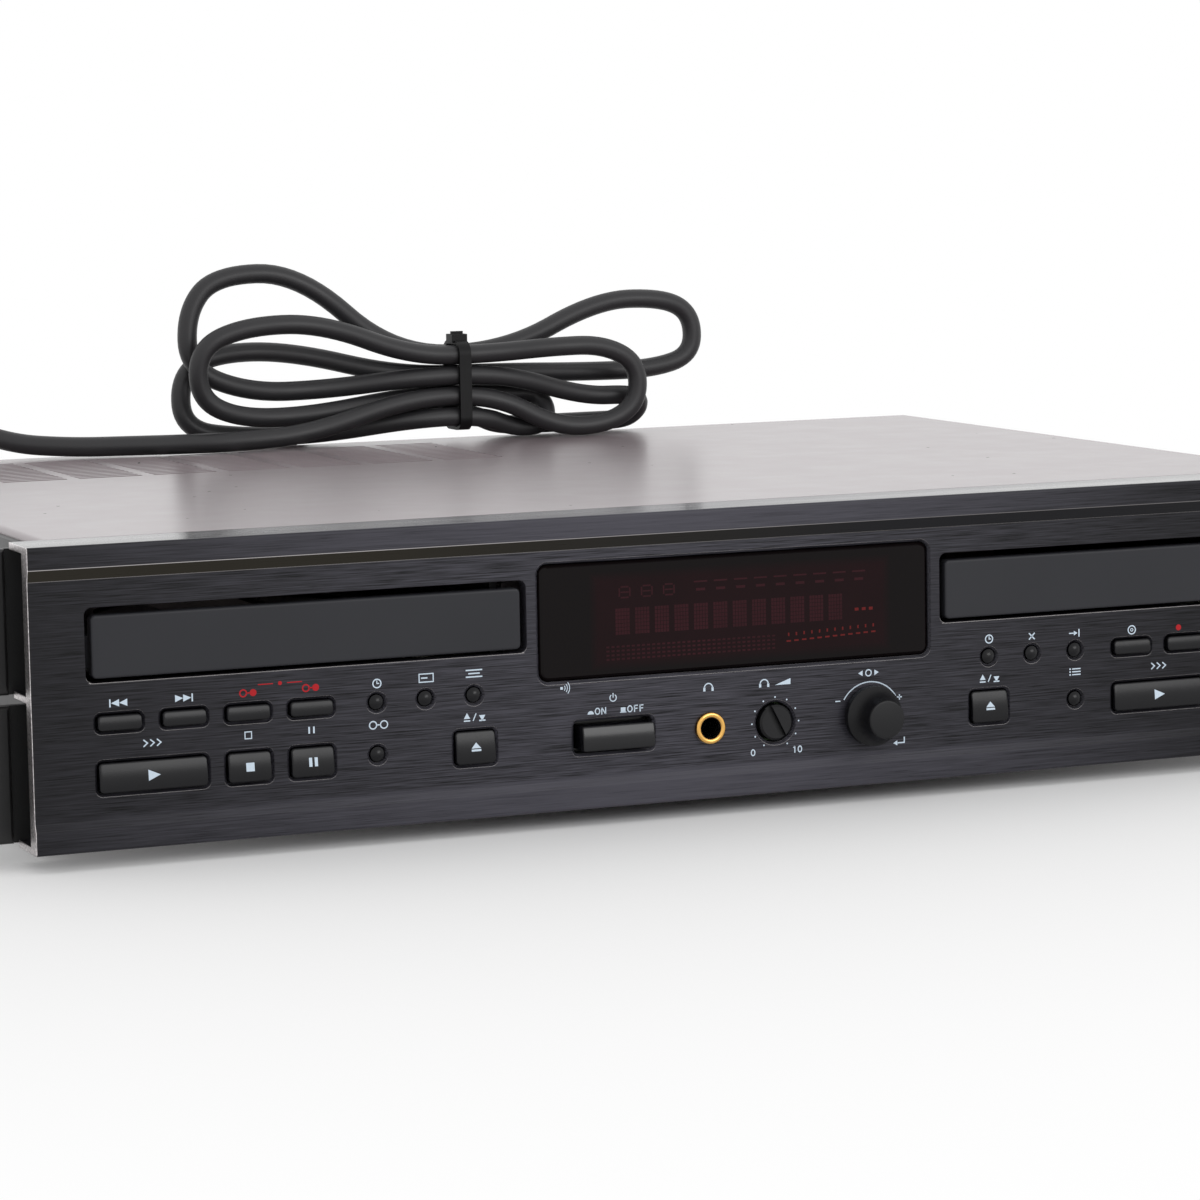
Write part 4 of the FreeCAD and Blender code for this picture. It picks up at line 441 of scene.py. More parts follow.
def print_surface(prints, depth, thick=0.05, height=None):
    """Raised ink: every flat shape of the symbols has a front, a back and walls between them.

    Its points are (x + scale*u, depth - thick, z + scale*v) in front and (.., depth + thick, ..)
    behind. On a key of a given height they lie deeper by key_relief(scale*v, height), as the key's
    face does.
    """
    vertices, faces, start = [], [], 0
    for (flat, outline_faces), x, z, scale in prints:
        count = len(flat)
        u = x + scale * flat[:, 0]
        v = z + scale * flat[:, 1]
        level = np.full(count, depth) + (key_relief(scale * flat[:, 1], height) if height else 0)
        vertices.append(np.stack([u, level - thick, v], axis=1))
        vertices.append(np.stack([u, level + thick, v], axis=1))
        sides = {}
        for face in outline_faces:
            faces += [[start + i for i in face], [start + count + i for i in reversed(face)]]
            for a, b in zip(face, face[1:] + face[:1]):
                if sides.pop((b, a), None) is None:
                    sides[(a, b)] = True
        faces += [[start + b, start + a, start + count + a, start + count + b] for a, b in sides]
        start += 2 * count
    return PANEL_ORIGIN + np.concatenate(vertices) / 1000, faces


def symbol_prints(entries):
    """The flat shapes of a list of symbols, each with its place and its scale, if that isn't 1."""
    return [(shape, x, z, *(scale or [1])) for name, x, z, *scale in entries
            for shape in SYMBOLS[name]]


def placed(shapes):
    """The same of flat shapes that already lie where they belong."""
    return [(shape, 0, 0, 1) for shape in shapes]


# ---------- shader nodes

SOCKETS = {"specular": "Specular IOR Level", "coat": "Coat Weight", "coat_ior": "Coat IOR"}
SHARP = 0.0001


def shaded(colour, share):
    """Darker or lighter copy of a colour."""
    return tuple(min(1.0, channel * share) for channel in colour[:3])


class Nodes:
    """Shader tree: each method adds a node and gives its output, but add() gives the node."""

    def __init__(self, tree):
        self.tree = tree

    def feed(self, socket, value):
        """Links an input to another socket, or sets it to a number, a vector or a colour."""
        if isinstance(value, bpy.types.NodeSocket):
            self.tree.links.new(value, socket)
        elif socket.type == "RGBA":
            socket.default_value = (*value[:3], 1)
        else:
            socket.default_value = value

    def add(self, kind, inputs=None, **settings):
        """Node of a kind, with its settings and with what its inputs are fed."""
        item = self.tree.nodes.new("ShaderNode" + kind)
        for key, value in settings.items():
            setattr(item, key, value)
        for key, value in (inputs or {}).items():
            self.feed(item.inputs[key], value)
        return item

    def math(self, operation, *values, clamp=False):
        """Result of an operation on numbers."""
        item = self.add("Math", dict(enumerate(values)), operation=operation, use_clamp=clamp)
        return item.outputs[0]

    def vector(self, operation, *values):
        """Result of an operation on vectors; that of LENGTH is a number."""
        item = self.add("VectorMath", dict(enumerate(values)), operation=operation)
        return item.outputs["Value" if operation == "LENGTH" else "Vector"]

    def axes(self, vector):
        """The three numbers of a vector."""
        return self.add("SeparateXYZ", {0: vector}).outputs

    def noise(self, vector, scale, detail, roughness=0.5):
        """Noise from 0 to 1."""
        return self.add("TexNoise", {"Vector": vector, "Scale": scale, "Detail": detail,
                                     "Roughness": roughness}).outputs[0]

    def mix(self, factor, low, high):
        """Colour between two colours."""
        return self.add("Mix", {0: factor, 6: low, 7: high}, data_type="RGBA").outputs[2]

    def tones(self, factor, colour, low, high):
        """Colour between two shares of one colour."""
        return self.mix(factor, shaded(colour, low), shaded(colour, high))

    def range(self, value, low, high, start=0.3, stop=0.7, **settings):
        """Value brought from the range of start to stop into that of low to high."""
        return self.add("MapRange", {"Value": value, "From Min": start, "From Max": stop,
                                     "To Min": low, "To Max": high}, **settings).outputs[0]


class Look(Nodes):
    """Material with its shader, on which its even values stand."""

    def __init__(self, name, **even):
        self.material = bpy.data.materials.new(name)
        self.material.use_nodes = True
        super().__init__(self.material.node_tree)
        self.shader = self.tree.nodes["Principled BSDF"]
        self.coords = self.add("TexCoord").outputs["Object"]
        self.set(**even)

    def set(self, **inputs):
        """Feeds inputs of the shader, which go by their names in small letters or in SOCKETS."""
        for key, value in inputs.items():
            name = SOCKETS.get(key, key.replace("_", " ").title())
            self.feed(self.shader.inputs[name], value)

    def relief(self, height, distance, **under):
        """Relief on the shader's normal, over another normal where one is given."""
        bump = self.add("Bump", {"Height": height, "Distance": distance, **under})
        self.set(normal=bump.outputs[0])

    def group(self, name, **values):
        """Outputs of one of the shared groups, used with its own values."""
        inputs = {key.capitalize(): value for key, value in values.items()}
        item = self.add("Group", node_tree=shared_group(name))
        for key, value in {"Vector": self.coords, **inputs}.items():
            self.feed(item.inputs[key], value)
        return item.outputs

    def box(self, middle, half, softness=SHARP):
        """Mask of a box."""
        return self.group("box", middle=middle, half=half, softness=softness)[0]

    def level_band(self, low, high, softness=SHARP):
        """Mask of the panel between two levels in millimetres."""
        return self.box(panel_point(0, 0, (low + high) / 2), (1, 1, (high - low) / 2000), softness)


# ---------- shader node groups

def brushed_group(nodes, entry):
    """Brushed metal: noise drawn out along X, as long fine lines and shorter broad streaks."""
    drawn = nodes.add("CombineXYZ", {0: entry["Along"], 1: entry["Across"], 2: entry["Across"]})
    spread = nodes.vector("MULTIPLY", entry["Vector"], drawn.outputs[0])
    wide = nodes.vector("MULTIPLY", spread, (0.55, 0.16, 0.16))
    return nodes.noise(spread, 1.0, 3.0, 0.6), nodes.noise(wide, 1.0, 2.0)


def grain_group(nodes, entry):
    """Moulded or painted grain: fine noise for the relief and slow noise for the tone."""
    return (nodes.noise(entry["Vector"], entry["Grain"], 2.0),
            nodes.noise(entry["Vector"], entry["Patch"], 4.0))


def dust_group(nodes, entry):
    """Specks: a spot in some cells of a cell pattern, where the cell's point is near."""
    cells = nodes.add("TexVoronoi", {"Vector": entry["Vector"], "Scale": entry["Spread"]}).outputs
    near = nodes.math("LESS_THAN", cells["Distance"], entry["Size"])
    some = nodes.math("LESS_THAN", nodes.axes(cells["Color"])[0], entry["Share"])
    return (nodes.math("MULTIPLY", near, some),)


def box_group(nodes, entry):
    """Mask of a box: one inside, falling to nothing over the softness at its faces."""
    size = nodes.vector("ABSOLUTE", nodes.vector("SUBTRACT", entry["Vector"], entry["Middle"]))
    x, y, z = nodes.axes(nodes.vector("SUBTRACT", size, entry["Half"]))
    beyond = nodes.math("MAXIMUM", nodes.math("MAXIMUM", x, y), z)
    share = nodes.math("DIVIDE", beyond, entry["Softness"])
    return (nodes.math("SUBTRACT", 0.5, share, clamp=True),)


GROUPS = {
    "brushed": (brushed_group, {"Along": 60, "Across": 2200}, ("Lines", "Streaks")),
    "grain": (grain_group, {"Grain": 2500, "Patch": 25}, ("Relief", "Tone")),
    "dust": (dust_group, {"Spread": 120, "Size": 0.05, "Share": 0.2}, ("Specks",)),
    "box": (box_group, {"Middle": None, "Half": None, "Softness": 0.001}, ("Mask",)),
}


def shared_group(name):
    """The node group of that name, made when it is first used. An input of None is a vector."""
    if name not in bpy.data.node_groups:
        build, inputs, outputs = GROUPS[name]
        tree = bpy.data.node_groups.new(name, "ShaderNodeTree")
        for label, default in {"Vector": None, **inputs}.items():
            kind = "NodeSocketVector" if default is None else "NodeSocketFloat"
            socket = tree.interface.new_socket(name=label, in_out="INPUT", socket_type=kind)
            if default is not None:
                socket.default_value = default
        for label in outputs:
            tree.interface.new_socket(name=label, in_out="OUTPUT", socket_type="NodeSocketFloat")
        entry, leave = tree.nodes.new("NodeGroupInput"), tree.nodes.new("NodeGroupOutput")
        for source, target in zip(build(Nodes(tree), entry.outputs), leave.inputs):
            tree.links.new(source, target)
    return bpy.data.node_groups[name]


# ---------- materials

# Olive tint of the painted reflection on the panel lip's slope.
BEVEL_REFLECTION = (0.018, 0.0152, 0.0102)
SPECK = (0.004, 0.003, 0.003)
NICKEL = (0.62, 0.60, 0.56)


def grained(name, colour, roughness, shade=1, grain=2500, patch=25, depth=0.00002, tone=0.12,
            **even):
    """Moulded, painted or rubber surface: fine relief, with slow changes of tone and gloss."""
    look = Look(name, **even)
    relief, slow = look.group("grain", grain=grain, patch=patch)
    look.set(base_color=look.tones(slow, shaded(colour, shade), 1 - tone, 1 + tone),
             roughness=look.range(slow, roughness * 0.9, roughness * 1.12))
    look.relief(relief, depth)
    return look.material


def seams(look):
    """Mask of the joints between the panel's bars, which are closed: they lie beside the drawer
    windows, level with their edges, and the margin to either side is masked.
    """
    def inside(half_width, half_height):
        return look.box(panel_point(0, 0, sum(WINDOWS) / 2), (half_width, 1, half_height))

    half, margin = (WINDOWS[1] - WINDOWS[0]) / 2000, 0.0006
    outside = look.math("SUBTRACT", 1.0, inside(WINDOW_FAR, 1))
    beside = look.math("ADD", outside, inside(WINDOW_NEAR, 1))
    level = look.math("SUBTRACT", inside(1, half + margin), inside(1, half - margin))
    return look.math("MULTIPLY", beside, level)


def panel_material(colours):
    """Black anodised plate, brushed along X, with painted light. A painted sheen makes it paler in
    the middle, and its lips there paler still; painted highlights run along the lip's turned edge,
    its crease and the hole edges that face up; a painted reflection gives the lip's slope an olive
    tint towards the left end. Its cut ends are unanodised metal.
    """
    look = Look("Anodised panel", specular=0.16, coat=1.0, coat_roughness=0.12, anisotropic=0.6,
                anisotropic_rotation=0.25)
    # The cut-end metal colour also serves for the painted highlights.
    black, bare_and_highlight = colours.panel_colour, colours.cut_and_highlight_colour
    lines, streaks = look.group("brushed", along=60, across=2500)
    fine = look.tones(look.range(lines, 0, 1, 0.36, 0.64), black, 0.2, 2.1)
    brushed = look.mix(look.range(streaks, 0, 0.3, 0.4, 0.65), fine, shaded(black, 1.8))
    # Painted sheen: paler in the middle of the plate, with paler brushed lines there, and paler
    # still on the lips.
    sheen_mask = look.box((-0.03, 0, 0.05), (0.08, 1, 1), 0.24)
    share = look.math("MULTIPLY", sheen_mask, look.range(lines, 0, 1))
    painted_sheen = look.mix(share, brushed, shaded(black, 13.0))
    lips = look.math("SUBTRACT", 1.0, look.level_band(*FLAT, 0.001))
    painted_sheen = look.mix(look.math("MULTIPLY", lips, sheen_mask), painted_sheen, shaded(black, 9.5))

    # Painted reflection: towards the left end the lip's slope is given an olive tint; elsewhere it
    # is a little paler than the plate.
    painted_light_left = look.box(panel_point(-219, 0, 44), (0.19, 1, 1), 0.16)
    bevel = look.mix(painted_light_left, shaded(black, 1.1), BEVEL_REFLECTION)
    with_reflection = look.mix(look.level_band(*SLOPE), painted_sheen, bevel)
    # Painted highlights: the lip's turned edge and the crease below its slope are coloured paler,
    # more so towards the left end.
    edge = look.tones(painted_light_left, bare_and_highlight, 0.2, 0.55)
    turned = look.mix(look.level_band(*TURNED), with_reflection, edge)
    crease = look.tones(painted_light_left, bare_and_highlight, 0.1, 0.22)
    creased = look.mix(look.level_band(*CREASE), turned, crease)

    flat = look.add("NewGeometry").outputs["True Normal"]
    bevelled = look.add("Bevel", {"Radius": 0.0004}, samples=6).outputs[0]
    soft = look.mix(seams(look), bevelled, flat)
    # Painted highlight: within the band of holes, edges whose soft normal rises are coloured paler,
    # the more the higher it rises.
    rise = look.math("SUBTRACT", look.axes(soft)[2], look.axes(flat)[2])
    lit = look.math("MULTIPLY", rise, look.level_band(*HOLES))
    edge_lit = look.mix(look.range(lit, 0, 1, 0.1, 0.4), creased, shaded(bare_and_highlight, 0.6))

    cut_end = look.math("SUBTRACT", 1.0, look.box((0, 0, 0.05), (PANEL_END, 1, 1)))
    tone = look.group("grain", grain=1400, patch=1200)["Tone"]
    cut = look.tones(look.range(tone, 0, 1, 0.38, 0.62), bare_and_highlight, 0.7, 1.15)
    polish = look.range(sheen_mask, 0.85, 0.4, 0, 1)
    look.set(base_color=look.mix(cut_end, edge_lit, cut), metallic=cut_end,
             roughness=look.range(lines, 0.24, 0.46),
             coat=look.math("MULTIPLY", look.level_band(*TOP), polish))
    look.relief(lines, 0.00003, Normal=soft)
    return look.material


def cover_material(colours):
    """Gloss paint on sheet steel, slightly uneven in its gloss, with a few dark specks."""
    look = Look("Painted cover", specular=0.3, coat=1.0, coat_roughness=0.26, coat_ior=1.25)
    relief, tone = look.group("grain", grain=1800, patch=60)
    paint = look.tones(tone, colours.cover_colour, 0.9, 1.1)
    specks = look.group("dust", spread=90, size=0.05, share=0.35)[0]
    gloss = look.range(tone, 0.35, 0.43)
    look.set(base_color=look.mix(specks, paint, SPECK),
             roughness=look.math("MULTIPLY_ADD", specks, 0.5, gloss, clamp=True),
             coat=look.math("SUBTRACT", 1.0, specks))
    look.relief(relief, 0.000006)
    return look.material


def window_material(colours):
    """Smoked window: black at its rim, dark red-brown where the display lies behind it."""
    look = Look("Smoked window", specular=0.12)
    inner = look.box(panel_point(1.6, 0, 56), (0.0485, 1, 0.0135), 0.003)
    tone = look.group("grain", grain=300, patch=60)["Tone"]
    glow = look.tones(tone, colours.ghost_colour, 0.22, 0.42)
    look.set(base_color=look.mix(inner, colours.window_colour, glow),
             roughness=look.range(tone, 0.10, 0.16))
    return look.material


def jack_material(colours):
    """Gold ring round a black socket: gold wherever the surface is outside the bore, in front."""
    look = Look("Jack")
    bore, depth, blur = 0.0033, 0.0055, 0.00001
    away = look.vector("SUBTRACT", look.coords, panel_point(JACK[0], 0, JACK[1]))
    far = look.vector("LENGTH", look.vector("MULTIPLY", away, (1, 0, 1)))
    outside = look.range(far, 0, 1, bore - blur, bore + blur)
    front = look.range(look.axes(away)[1], 1, 0, depth, depth + 10 * blur)
    gold = look.math("MULTIPLY", outside, front)
    relief, tone = look.group("grain", grain=900, patch=300)
    plate = look.tones(tone, colours.gold_colour, 0.8, 1)
    look.set(base_color=look.mix(gold, (0.006, 0.006, 0.006), plate), metallic=gold,
             roughness=look.range(relief, 0.2, 0.3))
    return look.material


def plug_material():
    """Matt moulded plug whose pins, beyond the moulding, are nickel."""
    look = Look("Plug")
    pin_length, blur = 0.0188, 0.00015
    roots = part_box("mains_plug")[1].x - pin_length
    pins = look.range(look.axes(look.coords)[0], 0, 1, roots - blur, roots)
    relief, tone = look.group("grain", grain=2600, patch=60)
    moulding = look.mix(tone, (0.018, 0.018, 0.019), (0.026, 0.026, 0.028))
    look.set(base_color=look.mix(pins, moulding, NICKEL), metallic=pins,
             roughness=look.range(tone, 0.38, 0.5))
    look.relief(relief, 0.00002)
    return look.material


GRAINED = {
    "gold": ("Gold plate", "gold", 0.2, dict(metallic=1.0, grain=900, patch=300, depth=0.000003)),
    "drawer": ("Drawer front", "drawer", 0.42, dict(specular=0.22, depth=0.000008)),
    "tray": ("Disc tray", "drawer", 0.5, dict(shade=1.2, grain=1800, depth=0.00004)),
    "key": ("Key", "key", 0.26, dict(specular=0.27, depth=0.000006)),
    "power": ("Power key", "power", 0.2, dict(specular=0.36, depth=0.000004)),
    "knob": ("Knob", "knob", 0.40, dict(specular=0.3, depth=0.00001)),
    "chassis": ("Chassis paint", "cover", 0.42, dict(shade=0.42)),
    "ear": ("Ear paint", (0.012, 0.012, 0.0125), 0.42, dict(grain=1600, depth=0.00003)),
    "screw": ("Blackened steel", (0.055, 0.053, 0.05), 0.35, dict(metallic=0.9, patch=400)),
    "foot": ("Foot rubber", (0.012, 0.012, 0.012), 0.75, dict(grain=1500, depth=0.00006)),
    "frame": ("Drive moulding", (0.045, 0.045, 0.047), 0.5, dict(depth=0.00004)),
    "gear": ("Gear moulding", (0.55, 0.53, 0.47), 0.4, dict(depth=0.00001)),
    "platter": ("Turntable moulding", (0.05, 0.05, 0.05), 0.4, dict(depth=0.00001)),
    "board": ("Board laminate", (0.06, 0.11, 0.04), 0.4, dict(grain=1200, patch=90, tone=0.3)),
    "core": ("Core laminate", (0.16, 0.15, 0.15), 0.5, dict(metallic=0.6, patch=200)),
    "socket": ("Socket nickel", NICKEL, 0.28, dict(metallic=1.0, patch=300)),
    "tie": ("Tie", (0.0035, 0.0035, 0.004), 0.5, dict(specular=0.22, depth=0.00001)),
    "sheath": ("Sheath", "sheath", 0.46, dict(specular=0.45, grain=1600, depth=0.00003, tone=0.1,
                                              patch=40)),
    "print": ("White print", "print", 0.5, dict(grain=4000, depth=0.000004, tone=0.06)),
    "red_print": ("Red print", "red_print", 0.5, dict(specular=0.25, grain=4000, depth=0.000004)),
    "ghost": ("Resting segment", "ghost", 0.4, dict(specular=0.12, patch=70, tone=0.35, depth=0.0)),
    "ghost_red": ("Resting red segment", (0.12, 0.010, 0.010), 0.4, dict(specular=0.12, patch=70,
                                                                         tone=0.3, depth=0.0)),
}
SPECIAL = {"panel": panel_material, "cover": cover_material, "window": window_material,
           "jack": jack_material}
MATERIALS = {}


def finish(name):
    """The finish of that name, made when it is first asked for. A colour that is given by name in
    GRAINED is one of the settings.
    """
    colours = bpy.context.scene.recorder_finishes
    if name not in MATERIALS:
        if name == "plug":
            MATERIALS[name] = plug_material()
        elif name in SPECIAL:
            MATERIALS[name] = SPECIAL[name](colours)
        else:
            title, colour, roughness, options = GRAINED[name]
            if isinstance(colour, str):
                colour = getattr(colours, colour + "_colour")
            MATERIALS[name] = grained(title, colour, roughness, **options)
    return MATERIALS[name]


def dress(finish_name, *names):
    """Gives CAD nodes a finish through their objects' material slots."""
    material = finish(finish_name)
    for name in names:
        item = NODES[name]
        if not item.material_slots:
            item.data.materials.append(material)
        for place in item.material_slots:
            place.link = "OBJECT"
            place.material = material


# ---------- lead

LEAD_ROUTE = [
    (-0.165, 0.1774, 0.035), (-0.165, 0.2026, 0.035), (-0.17, 0.2296, 0.045),
    (-0.183, 0.2466, 0.067), (-0.195, 0.2486, 0.094), (-0.199, 0.2326, 0.117),
    (-0.194, 0.2076, 0.127), (-0.181, 0.1846, 0.12), (-0.1655, 0.1656, 0.1075),
    (-0.147, 0.1511, 0.0988), (-0.126, 0.1432, 0.0969), (-0.104, 0.1376, 0.0969),
]
TAIL_ROUTE = [
    (-0.0175, 0.1511, 0.1032), (-0.031, 0.1611, 0.1005), (-0.041, 0.1726, 0.089),
    (-0.046, 0.1816, 0.0705), (-0.046, 0.1886, 0.048), (-0.039, 0.1986, 0.027),
    (-0.024, 0.2126, 0.0105), (-0.002, 0.2266, 0.0036), (0.025, 0.2346, 0.0036),
    (0.05, 0.2361, 0.0044), (0.076, 0.2331, 0.0068), (0.1, 0.2291, 0.0068),
]
WAIST = (0.0195, 0.1396, 0.102)
WAIST_ROW = 0.0075
WAIST_COLUMN = 0.0078
LOOPS = {
    "long_front": (1, 0.067, 0.1304, 0.0969, 0.066, 0.1306, 0.1264, 0.0872),
    "middle_front": (-1, -0.053, 0.1331, 0.138, -0.056, 0.1371, 0.1046, -0.0805),
    "short": (1, 0.048, 0.1472, 0.109, 0.048, 0.1394, 0.0969, 0.0553),
    "low_back": (-1, -0.048, 0.1491, 0.0969, -0.062, 0.1532, 0.1275, -0.0825),
    "high_back": (1, 0.092, 0.1476, 0.1155, 0.099, 0.1476, 0.142, 0.117),
    "tall": (-1, -0.062, 0.1451, 0.156, -0.047, 0.1434, 0.1134, -0.0815),
    "long_back": (1, 0.086, 0.1398, 0.107, 0.086, 0.15, 0.0969, 0.0932),
}


def unit(x, y, z):
    """Direction of length one."""
    return Vector((x, y, z)).normalized()


def waist(row, column, way, drift=0.0):
    """Place and way of a strand in the tie: rows count from the top, columns from the front."""
    place = Vector(WAIST) + Vector((0, (column - 0.5) * WAIST_COLUMN, (4 - row) * WAIST_ROW))
    return place, unit(way, drift, 0)


def loop(name):
    """Three places and directions round the end of a loop of the hank."""
    side, x_in, y_in, z_in, x_out, y_out, z_out, end = LOOPS[name]
    middle = Vector((end, (y_in + y_out) / 2, (z_in + z_out) / 2))
    return [(Vector((x_in, y_in, z_in)), unit(side, 0, 0)),
            (middle, unit(0, y_out - y_in, z_out - z_in)),
            (Vector((x_out, y_out, z_out)), unit(-side, 0, 0))]


def hank_points():
    """Route points of the hank: two for each eighth of a turn, after a place and before the next.

    Both lie at the reach d that makes the line between them 2d long, with d = (sqrt(a^2 + s*c^2) -
    a) / s, where c is the chord, a = c.(w0 + w1) for the ways w0 and w1, and s = 2(1 - w0.w1).
    """
    stations = [(Vector(LEAD_ROUTE[-1]) + unit(1, -0.25, 0) * 0.007, unit(1, -0.25, 0)),
                (Vector((-0.062, 0.1281, 0.0976)), unit(1, 0, 0.05)), waist(3, 0, 1)]
    stations += loop("long_front") + [waist(1, 0, -1)] + loop("middle_front") + [waist(3, 1, 1)]
    stations += loop("short") + [waist(4, 0, -1)] + loop("low_back") + [waist(2, 1, 1)]
    stations += loop("high_back") + [waist(1, 1, -1)] + loop("tall") + [waist(2, 0, 1)]
    stations += loop("long_back")
    stations += [(Vector((0.046, 0.1491, 0.0969)), unit(-1, 0, 0)), waist(4, 1, -1, 0.1)]
    points = []
    for (start, way), (stop, final) in zip(stations, stations[1:]):
        chord = stop - start
        spread = 2 * (1 - way.dot(final))
        if spread < 1e-9:
            reach = chord.dot(chord) / (4 * chord.dot(way))
        else:
            along = chord.dot(way + final)
            reach = (math.sqrt(along ** 2 + spread * chord.dot(chord)) - along) / spread
        points += [start + way * reach, stop - final * reach]
    last, way = stations[-1]
    return points + [last, last + way * 0.021]


class RECORDER_OT_lead(bpy.types.Operator):
    """Make the mains lead, tied in a hank on the cover, and dress its tie, plug and relief"""
    bl_idname = "recorder.make_lead"
    bl_label = "Mains lead"

    def execute(self, context):
        settings = context.scene.recorder_lead
        curve = bpy.data.curves.new("power_lead", "CURVE")
        curve.dimensions = "3D"
        curve.bevel_depth = settings.diameter / 2
        curve.bevel_resolution = 6
        curve.resolution_u = 10
        curve.use_fill_caps = True
        points = LEAD_ROUTE + hank_points() + TAIL_ROUTE
        line = curve.splines.new("NURBS")
        line.points.add(len(points) - 1)
        line.points.foreach_set("co", np.array([(*place, 1) for place in points]).ravel())
        line.order_u = 3
        line.use_endpoint_u = True
        curve.materials.append(finish("sheath"))
        piece = bpy.data.objects.new("power_lead", curve)
        context.scene.collection.objects.link(piece)
        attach(piece, "housing")
        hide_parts("mains_lead", "cord_hank", "cord_tail")
        dress("tie", "cord_tie")
        dress("plug", "mains_plug")
        dress("sheath", "cord_relief")
        return {"FINISHED"}


# ---------- pieces

# Level, width and height of each kind of key, and the place and size of each key.
SMALL, PLAY = (36.7, 13.0, 4.4), (20.9, 32.15, 8.6)
LARGE, OPEN = (20.9, 13.0, 8.6), (21.3, 12.5, 9.8)
KEYS = {
    "previous_key_left": (-193.4, *SMALL), "next_key_left": (-174.25, *SMALL),
    "copy_key": (-155.1, *SMALL), "copy_fast_key": (-135.95, *SMALL),
    "play_key_left": (-183.825, *PLAY), "stop_key_left": (-155.1, *LARGE),
    "pause_key_left": (-135.95, *LARGE), "open_key_left": (-85.4, *OPEN),
    "finalize_key": (135.95, *SMALL), "record_key": (155.1, *SMALL),
    "previous_key_right": (174.25, *SMALL), "next_key_right": (193.4, *SMALL),
    "play_key_right": (145.525, *PLAY), "stop_key_right": (174.25, *LARGE),
    "pause_key_right": (193.4, *LARGE), "open_key_right": (85.4, *OPEN),
}
ROUND_PLACES = [(85.4, 36.9), (100.6, 36.9), (115.8, 36.9), (115.8, 21.5)]
ROUND_KEYS = [(f"round_key_{tag}_{place}", side * x, z) for side, tag in SIDES
              for place, (x, z) in enumerate(ROUND_PLACES, 1)]


class RECORDER_OT_panel(bpy.types.Operator):
    """Dress the panel and print its symbols and scales"""
    bl_idname = "recorder.make_panel"
    bl_label = "Front panel"

    def execute(self, context):
        dress("panel", "front_panel")
        dots = [spot(*place, 0.26) for place in arc(*LEVEL, 7.8, 240, -60, 11)]
        sweep = shape_stroke(arc(JOG[0], JOG[1] - 0.1, 10.3, 31, 149, 30))
        ink = print_surface(symbol_prints(WHITE_PRINTS) + placed(dots + [sweep]), FACE)
        make_piece("panel_symbols", "housing", *ink, finish("print"))
        ink = print_surface(symbol_prints(RED_PRINTS), FACE)
        make_piece("recording_symbols", "housing", *ink, finish("red_print"))
        return {"FINISHED"}


class RECORDER_OT_keys(bpy.types.Operator):
    """Make the moulded keys with round edges, crowned faces and their symbols"""
    bl_idname = "recorder.make_keys"
    bl_label = "Keys"

    def execute(self, context):
        for name, (x, z, width, height) in KEYS.items():
            shape = cap_surface(x, z, width, height, KEY_CORNER, KEY_EDGE, KEY_CROWN, KEY_FRONT,
                                KEY_SKIRT, KEY_BROW * height)
            cap = make_piece(name + "_cap", name, *shape, finish("key"), "keys", BLEND)
            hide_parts(name)
        for name, entry in KEY_PRINTS.items():
            ink = print_surface(symbol_prints([entry]), KEY_FRONT, height=KEYS[name][3])
            make_piece(name + "_symbol", name, *ink, finish("print"))
        for name, x, z in ROUND_KEYS:
            self.add_round_key(name, x, z)
        width, height, corner, edge, proud, brow = 23.2, 7.4, 0.7, 0.4, 4.6, 1.05
        shape = cap_surface(*POWER, width, height, corner, edge, KEY_CROWN, FACE - proud, KEY_SKIRT,
                            brow)
        cap = make_piece("power_key_cap", "power_key", *shape, finish("power"), "power_key", BLEND)
        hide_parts("power_key")
        return {"FINISHED"}

    def add_round_key(self, name, x, z):
        """Round key with a collar and a domed end: at t of its radius the dome is 0.9 t^2 deep."""
        tip, radius, collar = FACE - 0.6, 2.2, 3.5
        dome = [(tip + 0.9 * t * t, radius * t) for t in np.linspace(0.15, 1, 8)][::-1]
        profile = [(KEY_SEAT + 1, 0), (KEY_SEAT + 1, collar), (KEY_SEAT, collar),
                   (KEY_SEAT, radius), *dome, (tip, 0)]
        shape = lathe_surface(x, z, profile, 32)
        cap = make_piece(name + "_cap", name, *shape, finish("key"), "keys", BLEND)
        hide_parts(name)


class RECORDER_OT_display(bpy.types.Operator):
    """Dress the display window and lay the resting segments in it: twelve characters of dots, three
    digits, nine words, four rows of the level meter and, in red, a scale and three marks
    """
    bl_idname = "recorder.make_display"
    bl_label = "Display"

    def execute(self, context):
        dress("window", "display_window")
        cells = [bar(-39.5 + 6.4 * place + 0.95 * column, 52.2 + 1.15 * row, 0.8, 1.0)
                 for place in range(12) for row in range(7) for column in range(5)]
        for x in -38.5 + 7.2 * np.arange(3):
            cells += [bar(x, 64.4, 0.5, 2.6), bar(x + 3.4, 64.4, 0.5, 2.6)]
            cells += [bar(x + 1.7, 66.0, 2.6, 0.5), bar(x + 1.7, 62.8, 2.6, 0.5),
                      bar(x + 1.7, 64.4, 2.6, 0.45)]
        for x in -12 + 6.6 * np.arange(9):
            cells += [bar(x, 66.2, 4.4, 0.5), bar(x, 63.8, 3.0, 0.8)]
        cells += [bar(-42.5 + 1.65 * column, 44.4 + 1.25 * row, 1.0, 0.55)
                  for row in range(4) for column in range(34)]
        ink = print_surface(placed(cells), FACE, 0.02)
        make_piece("resting_segments", "housing", *ink, finish("ghost"))
        bright = [bar(17 + 2.6 * place, base + 0.1 * place, width, height)
                  for base, width, height in ((46.2, 1.5, 0.5), (48.2, 0.5, 1.0))
                  for place in range(12)]
        bright += [bar(40.0 + 2.4 * place, 54.5, 1.3, 0.9) for place in range(3)]
        ink = print_surface(placed(bright), FACE, 0.03)
        make_piece("resting_red_segments", "housing", *ink, finish("ghost_red"))
        return {"FINISHED"}


